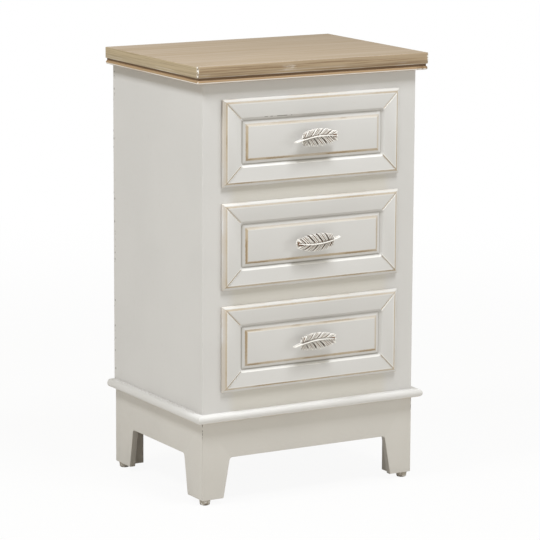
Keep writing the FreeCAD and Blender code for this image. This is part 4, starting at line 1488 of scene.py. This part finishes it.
def mark_hollows(piece, middle, rear_y, axes):
    """Store how deep each point lies under the smoothed surface, from -1 to 1.

    Crests are below 0, and the finish whitens them as painted highlights. The wash also gathers
    between the barbs, beside the shaft and at the far tip.
    """
    shape = settings("knobs")
    flat = copy_piece(piece, "smoothed")
    apply(flat, "SMOOTH", factor=0.5, iterations=HOLLOW_SMOOTHING)
    hollows = piece.data.attributes.new("hollows", "FLOAT", "POINT")
    for index, vertex in enumerate(piece.data.vertices):
        rise = (flat.data.vertices[index].co - vertex.co).dot(vertex.normal)
        share = (vertex.co.x - middle.x) / shape.feather_length
        above = vertex.co.z - middle.z - shape.feather_width * shaft_height(share)
        off_shaft = abs(above)
        in_vane = VANE_START < share < SHAFT_END and vertex.co.y < rear_y
        beside = in_vane and MM < off_shaft < shape.valley + SHAFT_POOL
        at_tip = in_vane and share > SHAFT_END - TIP_LENGTH and off_shaft < TIP_POOL
        pooled = (SHAFT_WASH - share) * beside + TIP_WASH * at_tip
        value = limited(rise / HOLLOW_DEPTH + pooled, -1, 1)
        if in_vane and off_shaft > LINES_OFF_SHAFT and share < LINES_END:
            off = off_barb(vertex.co, axes[1 if above > 0 else -1])
            between = limited((off - LINE_START) / LINE_FADE, 0, 1)
            value += (LINE_WASH - min(value, LINE_WASH)) * between
        hollows.data[index].value = value
    bpy.data.objects.remove(flat)


def make_knobs():
    """Three feather knobs from one shape; the middle one is turned round."""
    shape = settings("knobs")
    node = "upper_drawer_knob"
    low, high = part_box(node)
    middle = Vector((0, 0, middle_of("upper_drawer_front").z))
    rear_y = high.y - shape.stem_length
    rim_y = rear_y - shape.rim_rise
    crown_y = rear_y - shape.crown_rise
    core = copy_piece(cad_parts[node], "core")
    core.parent = None
    edit(core, "VERT", "SELECT")
    bpy.ops.mesh.remove_doubles(threshold=MM / 100)
    clear_selection()
    front_y = min(vertex.co.y for vertex in core.data.vertices)
    pick_points(core, lambda place: place.y < rear_y - MM / 10)
    resize((1, shape.plate / (rear_y - front_y), 1), (0, rear_y, 0))
    parts = [core]
    axes = {}
    for vane in VANES:
        side = vane["side"]
        axes[side] = barb_axes(vane, middle, rim_y, crown_y)
        parts += make_vane(axes[side])
    parts.append(make_shaft(middle, low.y + shape.shaft_width / 2))
    knob = join("knob", parts)
    apply(knob, "REMESH", mode="VOXEL", voxel_size=shape.grain)
    apply(knob, "SMOOTH", factor=0.5, iterations=2)
    for vertex in knob.data.vertices:
        vertex.co = [limited(*values) for values in zip(vertex.co, low, high)]
    mark_hollows(knob, middle, rear_y, axes)
    smooth(knob)
    material = knob_finish()
    for level in LEVELS:
        place = Vector((0, 0, middle_of(f"{level}_drawer_front").z))
        matrix = Matrix.Translation(place - middle)
        if level == "middle":
            matrix = half_turn(place, "Y") @ matrix
        piece = copy_piece(knob, f"{level}_feather", matrix)
        dress(piece, f"{level}_drawer", "antiqued_white", material, f"{level}_drawer_knob")
    bpy.data.objects.remove(knob)


def paint_inside():
    """Materials of the pieces that stay as their solids are."""
    runners = [f"{level}_runner_{side}" for level in LEVELS for side in SIDES]
    kickers = [f"drawer_kickers_{side}" for side in SIDES]
    sides = [f"{level}_drawer_side_{side}" for level in LEVELS for side in SIDES]
    paint_nodes(plain_wood("raw wood along", (38, 2.2, 38)), runners + kickers + sides)
    stretchers = ["top_stretcher_front", "top_stretcher_rear", "bottom_board"]
    backs = [f"{level}_drawer_back" for level in LEVELS]
    paint_nodes(plain_wood("raw wood across", (2.2, 38, 38)), stretchers + backs)
    paint_nodes(plywood_finish(), [f"{level}_drawer_bottom" for level in LEVELS])
    paint_nodes(plywood_finish(painted_edges=True), ["back_panel"])
    screws = ["top_screws", "base_screws", "runner_screws", "back_nails"]
    knob_screws = [f"{level}_drawer_knob_screw" for level in LEVELS]
    paint_nodes(steel_finish(), screws + knob_screws)


def paint_blocks(material):
    """The corner blocks are painted with the base."""
    blocks = [f"corner_block_{row}_{side}" for row in ("front", "rear") for side in SIDES]
    paint_nodes(material, blocks)


# Stage


# Each lamp's place and width; its power is the setting of the same name


LAMPS = {
    "overhead": ((0.15, -1.08, 2.54), 0.6),
    "high_left": ((-1.4, -0.25, 2.25), 0.5),
    "right": ((1.9, -1.7, 0.75), 0.5),
    "left": ((-2.2, -1.6, 0.9), 1.2),
}
LAMP_AIM = Vector((0, 0, 0.33))


def add_lamp(name, place, size, watts):
    """A square soft lamp at a place, facing the nightstand."""
    lamp = bpy.data.lights.new(name, "AREA")
    lamp.energy = watts
    lamp.color = settings("stage").lamp_colour
    lamp.size = size
    holder = bpy.data.objects.new(name, lamp)
    bpy.context.scene.collection.objects.link(holder)
    holder.location = place
    holder.rotation_euler = (LAMP_AIM - Vector(place)).to_track_quat("-Z", "Y").to_euler()


def add_camera():
    """The camera at the photograph's viewing angle."""
    stage = settings("stage")
    yaw, pitch, roll = stage.yaw, stage.pitch, stage.roll
    forward = Vector((
        math.sin(yaw) * math.cos(pitch), math.cos(yaw) * math.cos(pitch), -math.sin(pitch)
    ))
    right = Vector((math.cos(yaw), -math.sin(yaw), 0))
    up = right.cross(forward)
    turned_right = right * math.cos(roll) + up * math.sin(roll)
    turned_up = up * math.cos(roll) - right * math.sin(roll)
    axes = Matrix((turned_right, turned_up, -forward)).transposed()
    data = bpy.data.cameras.new("camera")
    data.lens = stage.lens
    data.sensor_width = 36
    camera = bpy.data.objects.new("camera", data)
    bpy.context.scene.collection.objects.link(camera)
    camera.location = stage.place
    camera.rotation_euler = axes.to_euler()
    bpy.context.scene.camera = camera


def floor_finish(radius):
    """A white floor that keeps the nightstand's faint shadow."""
    finish = Finish("studio floor")
    place = finish.position()
    speckle = finish.noise(place, 60, detail=2)
    pale = finish.mix(speckle, (0.70, 0.68, 0.65), (0.73, 0.71, 0.68))
    finish.set(Base_Color=pale, Roughness=0.5, Specular_IOR_Level=0.2)
    away = finish.add("ShaderNodeVectorMath", output=1, operation="LENGTH", Vector=place)
    share = finish.span(away, radius * 0.15, radius * 0.6, 0.93, 1.0)
    seen = finish.seen_by("Camera", "Glossy", "Transmission")
    blend = finish.tree.nodes.new("ShaderNodeMixShader")
    finish.feed(blend.inputs[0], finish.all_of(seen, share))
    finish.feed(blend.inputs[1], finish.shader.outputs[0])
    finish.feed(blend.inputs[2], finish.add("ShaderNodeEmission"))
    output = finish.tree.nodes["Material Output"]
    finish.feed(output.inputs["Surface"], blend.outputs[0])
    return finish.material


def add_floor():
    """A wide disc under the nightstand."""
    radius = settings("stage").floor_radius
    clear_selection()
    bpy.ops.mesh.primitive_circle_add(vertices=96, radius=radius, fill_type="NGON")
    floor = settle("studio_floor")
    floor.data.materials.append(floor_finish(radius))


def light_room():
    """Even light from all round, which the camera sees as white."""
    stage = settings("stage")
    world = bpy.data.worlds.new("studio")
    bpy.context.scene.world = world
    world.use_nodes = True
    room = Nodes(world.node_tree)
    ground = room.tree.nodes["Background"]
    seen = room.seen_by("Camera", "Transmission")
    room.feed(ground.inputs["Strength"], room.span(seen, 0.0, 1.0, stage.room, 1.0))
    room.feed(ground.inputs["Color"], room.mix(seen, stage.room_colour, (1, 1, 1)))


def make_stage():
    """Camera, lamps, room light and floor."""
    stage = settings("stage")
    add_camera()
    bpy.context.scene.view_settings.view_transform = "Standard"
    for name, (place, size) in LAMPS.items():
        add_lamp(f"{name}_lamp", place, size, getattr(stage, name))
    light_room()
    add_floor()


# The add-on's parts


class NIGHTSTAND_OT_top(bpy.types.Operator):
    """Model the top board with its routed edge"""

    bl_idname = "nightstand.top"
    bl_label = "Top board"

    def execute(self, context):
        make_top()
        return {"FINISHED"}


class NIGHTSTAND_OT_case(bpy.types.Operator):
    """Model the stiles and paint the case"""

    bl_idname = "nightstand.case"
    bl_label = "Case"

    def execute(self, context):
        make_case(case_paint())
        return {"FINISHED"}


class NIGHTSTAND_OT_base(bpy.types.Operator):
    """Model the base with its four arched sides, and paint its corner blocks"""

    bl_idname = "nightstand.base"
    bl_label = "Base"

    def execute(self, context):
        material = base_coat()
        make_aprons(material)
        paint_blocks(material)
        return {"FINISHED"}


class NIGHTSTAND_OT_mouldings(bpy.types.Operator):
    """Model the half-round mouldings above the base"""

    bl_idname = "nightstand.mouldings"
    bl_label = "Mouldings"

    def execute(self, context):
        make_mouldings()
        return {"FINISHED"}


class NIGHTSTAND_OT_glides(bpy.types.Operator):
    """Model the pads under the legs"""

    bl_idname = "nightstand.glides"
    bl_label = "Glides"

    def execute(self, context):
        make_glides()
        return {"FINISHED"}


class NIGHTSTAND_OT_fronts(bpy.types.Operator):
    """Model the three drawer fronts"""

    bl_idname = "nightstand.fronts"
    bl_label = "Drawer fronts"

    def execute(self, context):
        make_fronts()
        return {"FINISHED"}


class NIGHTSTAND_OT_knobs(bpy.types.Operator):
    """Model the three feather knobs"""

    bl_idname = "nightstand.knobs"
    bl_label = "Knobs"

    def execute(self, context):
        make_knobs()
        return {"FINISHED"}


class NIGHTSTAND_OT_inside(bpy.types.Operator):
    """Give the drawer boxes, runners, back and fasteners their materials"""

    bl_idname = "nightstand.inside"
    bl_label = "Inside"

    def execute(self, context):
        paint_inside()
        return {"FINISHED"}


class NIGHTSTAND_OT_stage(bpy.types.Operator):
    """Set up the camera, the lamps and the floor"""

    bl_idname = "nightstand.stage"
    bl_label = "Stage"

    def execute(self, context):
        make_stage()
        return {"FINISHED"}


OPERATORS = (
    NIGHTSTAND_OT_top,
    NIGHTSTAND_OT_case,
    NIGHTSTAND_OT_base,
    NIGHTSTAND_OT_mouldings,
    NIGHTSTAND_OT_glides,
    NIGHTSTAND_OT_fronts,
    NIGHTSTAND_OT_knobs,
    NIGHTSTAND_OT_inside,
    NIGHTSTAND_OT_stage,
)
GROUPS = {
    "nightstand_finish": FinishSettings,
    "nightstand_top": TopSettings,
    "nightstand_fronts": FrontSettings,
    "nightstand_base": BaseSettings,
    "nightstand_knobs": KnobSettings,
    "nightstand_stage": StageSettings,
}


class NIGHTSTAND_PT_panel(bpy.types.Panel):
    """Buttons and sizes of the nightstand"""

    bl_idname = "NIGHTSTAND_PT_panel"
    bl_label = "Nightstand"
    bl_space_type = "VIEW_3D"
    bl_region_type = "UI"
    bl_category = "Nightstand"

    def draw(self, context):
        for kind in OPERATORS:
            self.layout.operator(kind.bl_idname)
        for name, kind in GROUPS.items():
            box = self.layout.box()
            for key in kind.__annotations__:
                box.prop(getattr(context.scene, name), key)


def register():
    for kind in (*GROUPS.values(), *OPERATORS, NIGHTSTAND_PT_panel):
        bpy.utils.register_class(kind)
    for name, kind in GROUPS.items():
        setattr(bpy.types.Scene, name, PointerProperty(type=kind))


def unregister():
    for name in GROUPS:
        delattr(bpy.types.Scene, name)
    for kind in (NIGHTSTAND_PT_panel, *reversed(OPERATORS), *GROUPS.values()):
        bpy.utils.unregister_class(kind)


def main():
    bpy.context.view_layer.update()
    register()
    for kind in OPERATORS:
        step = getattr(bpy.ops.nightstand, kind.bl_idname.split(".")[1])
        step()


if __name__ == "__main__":
    main()
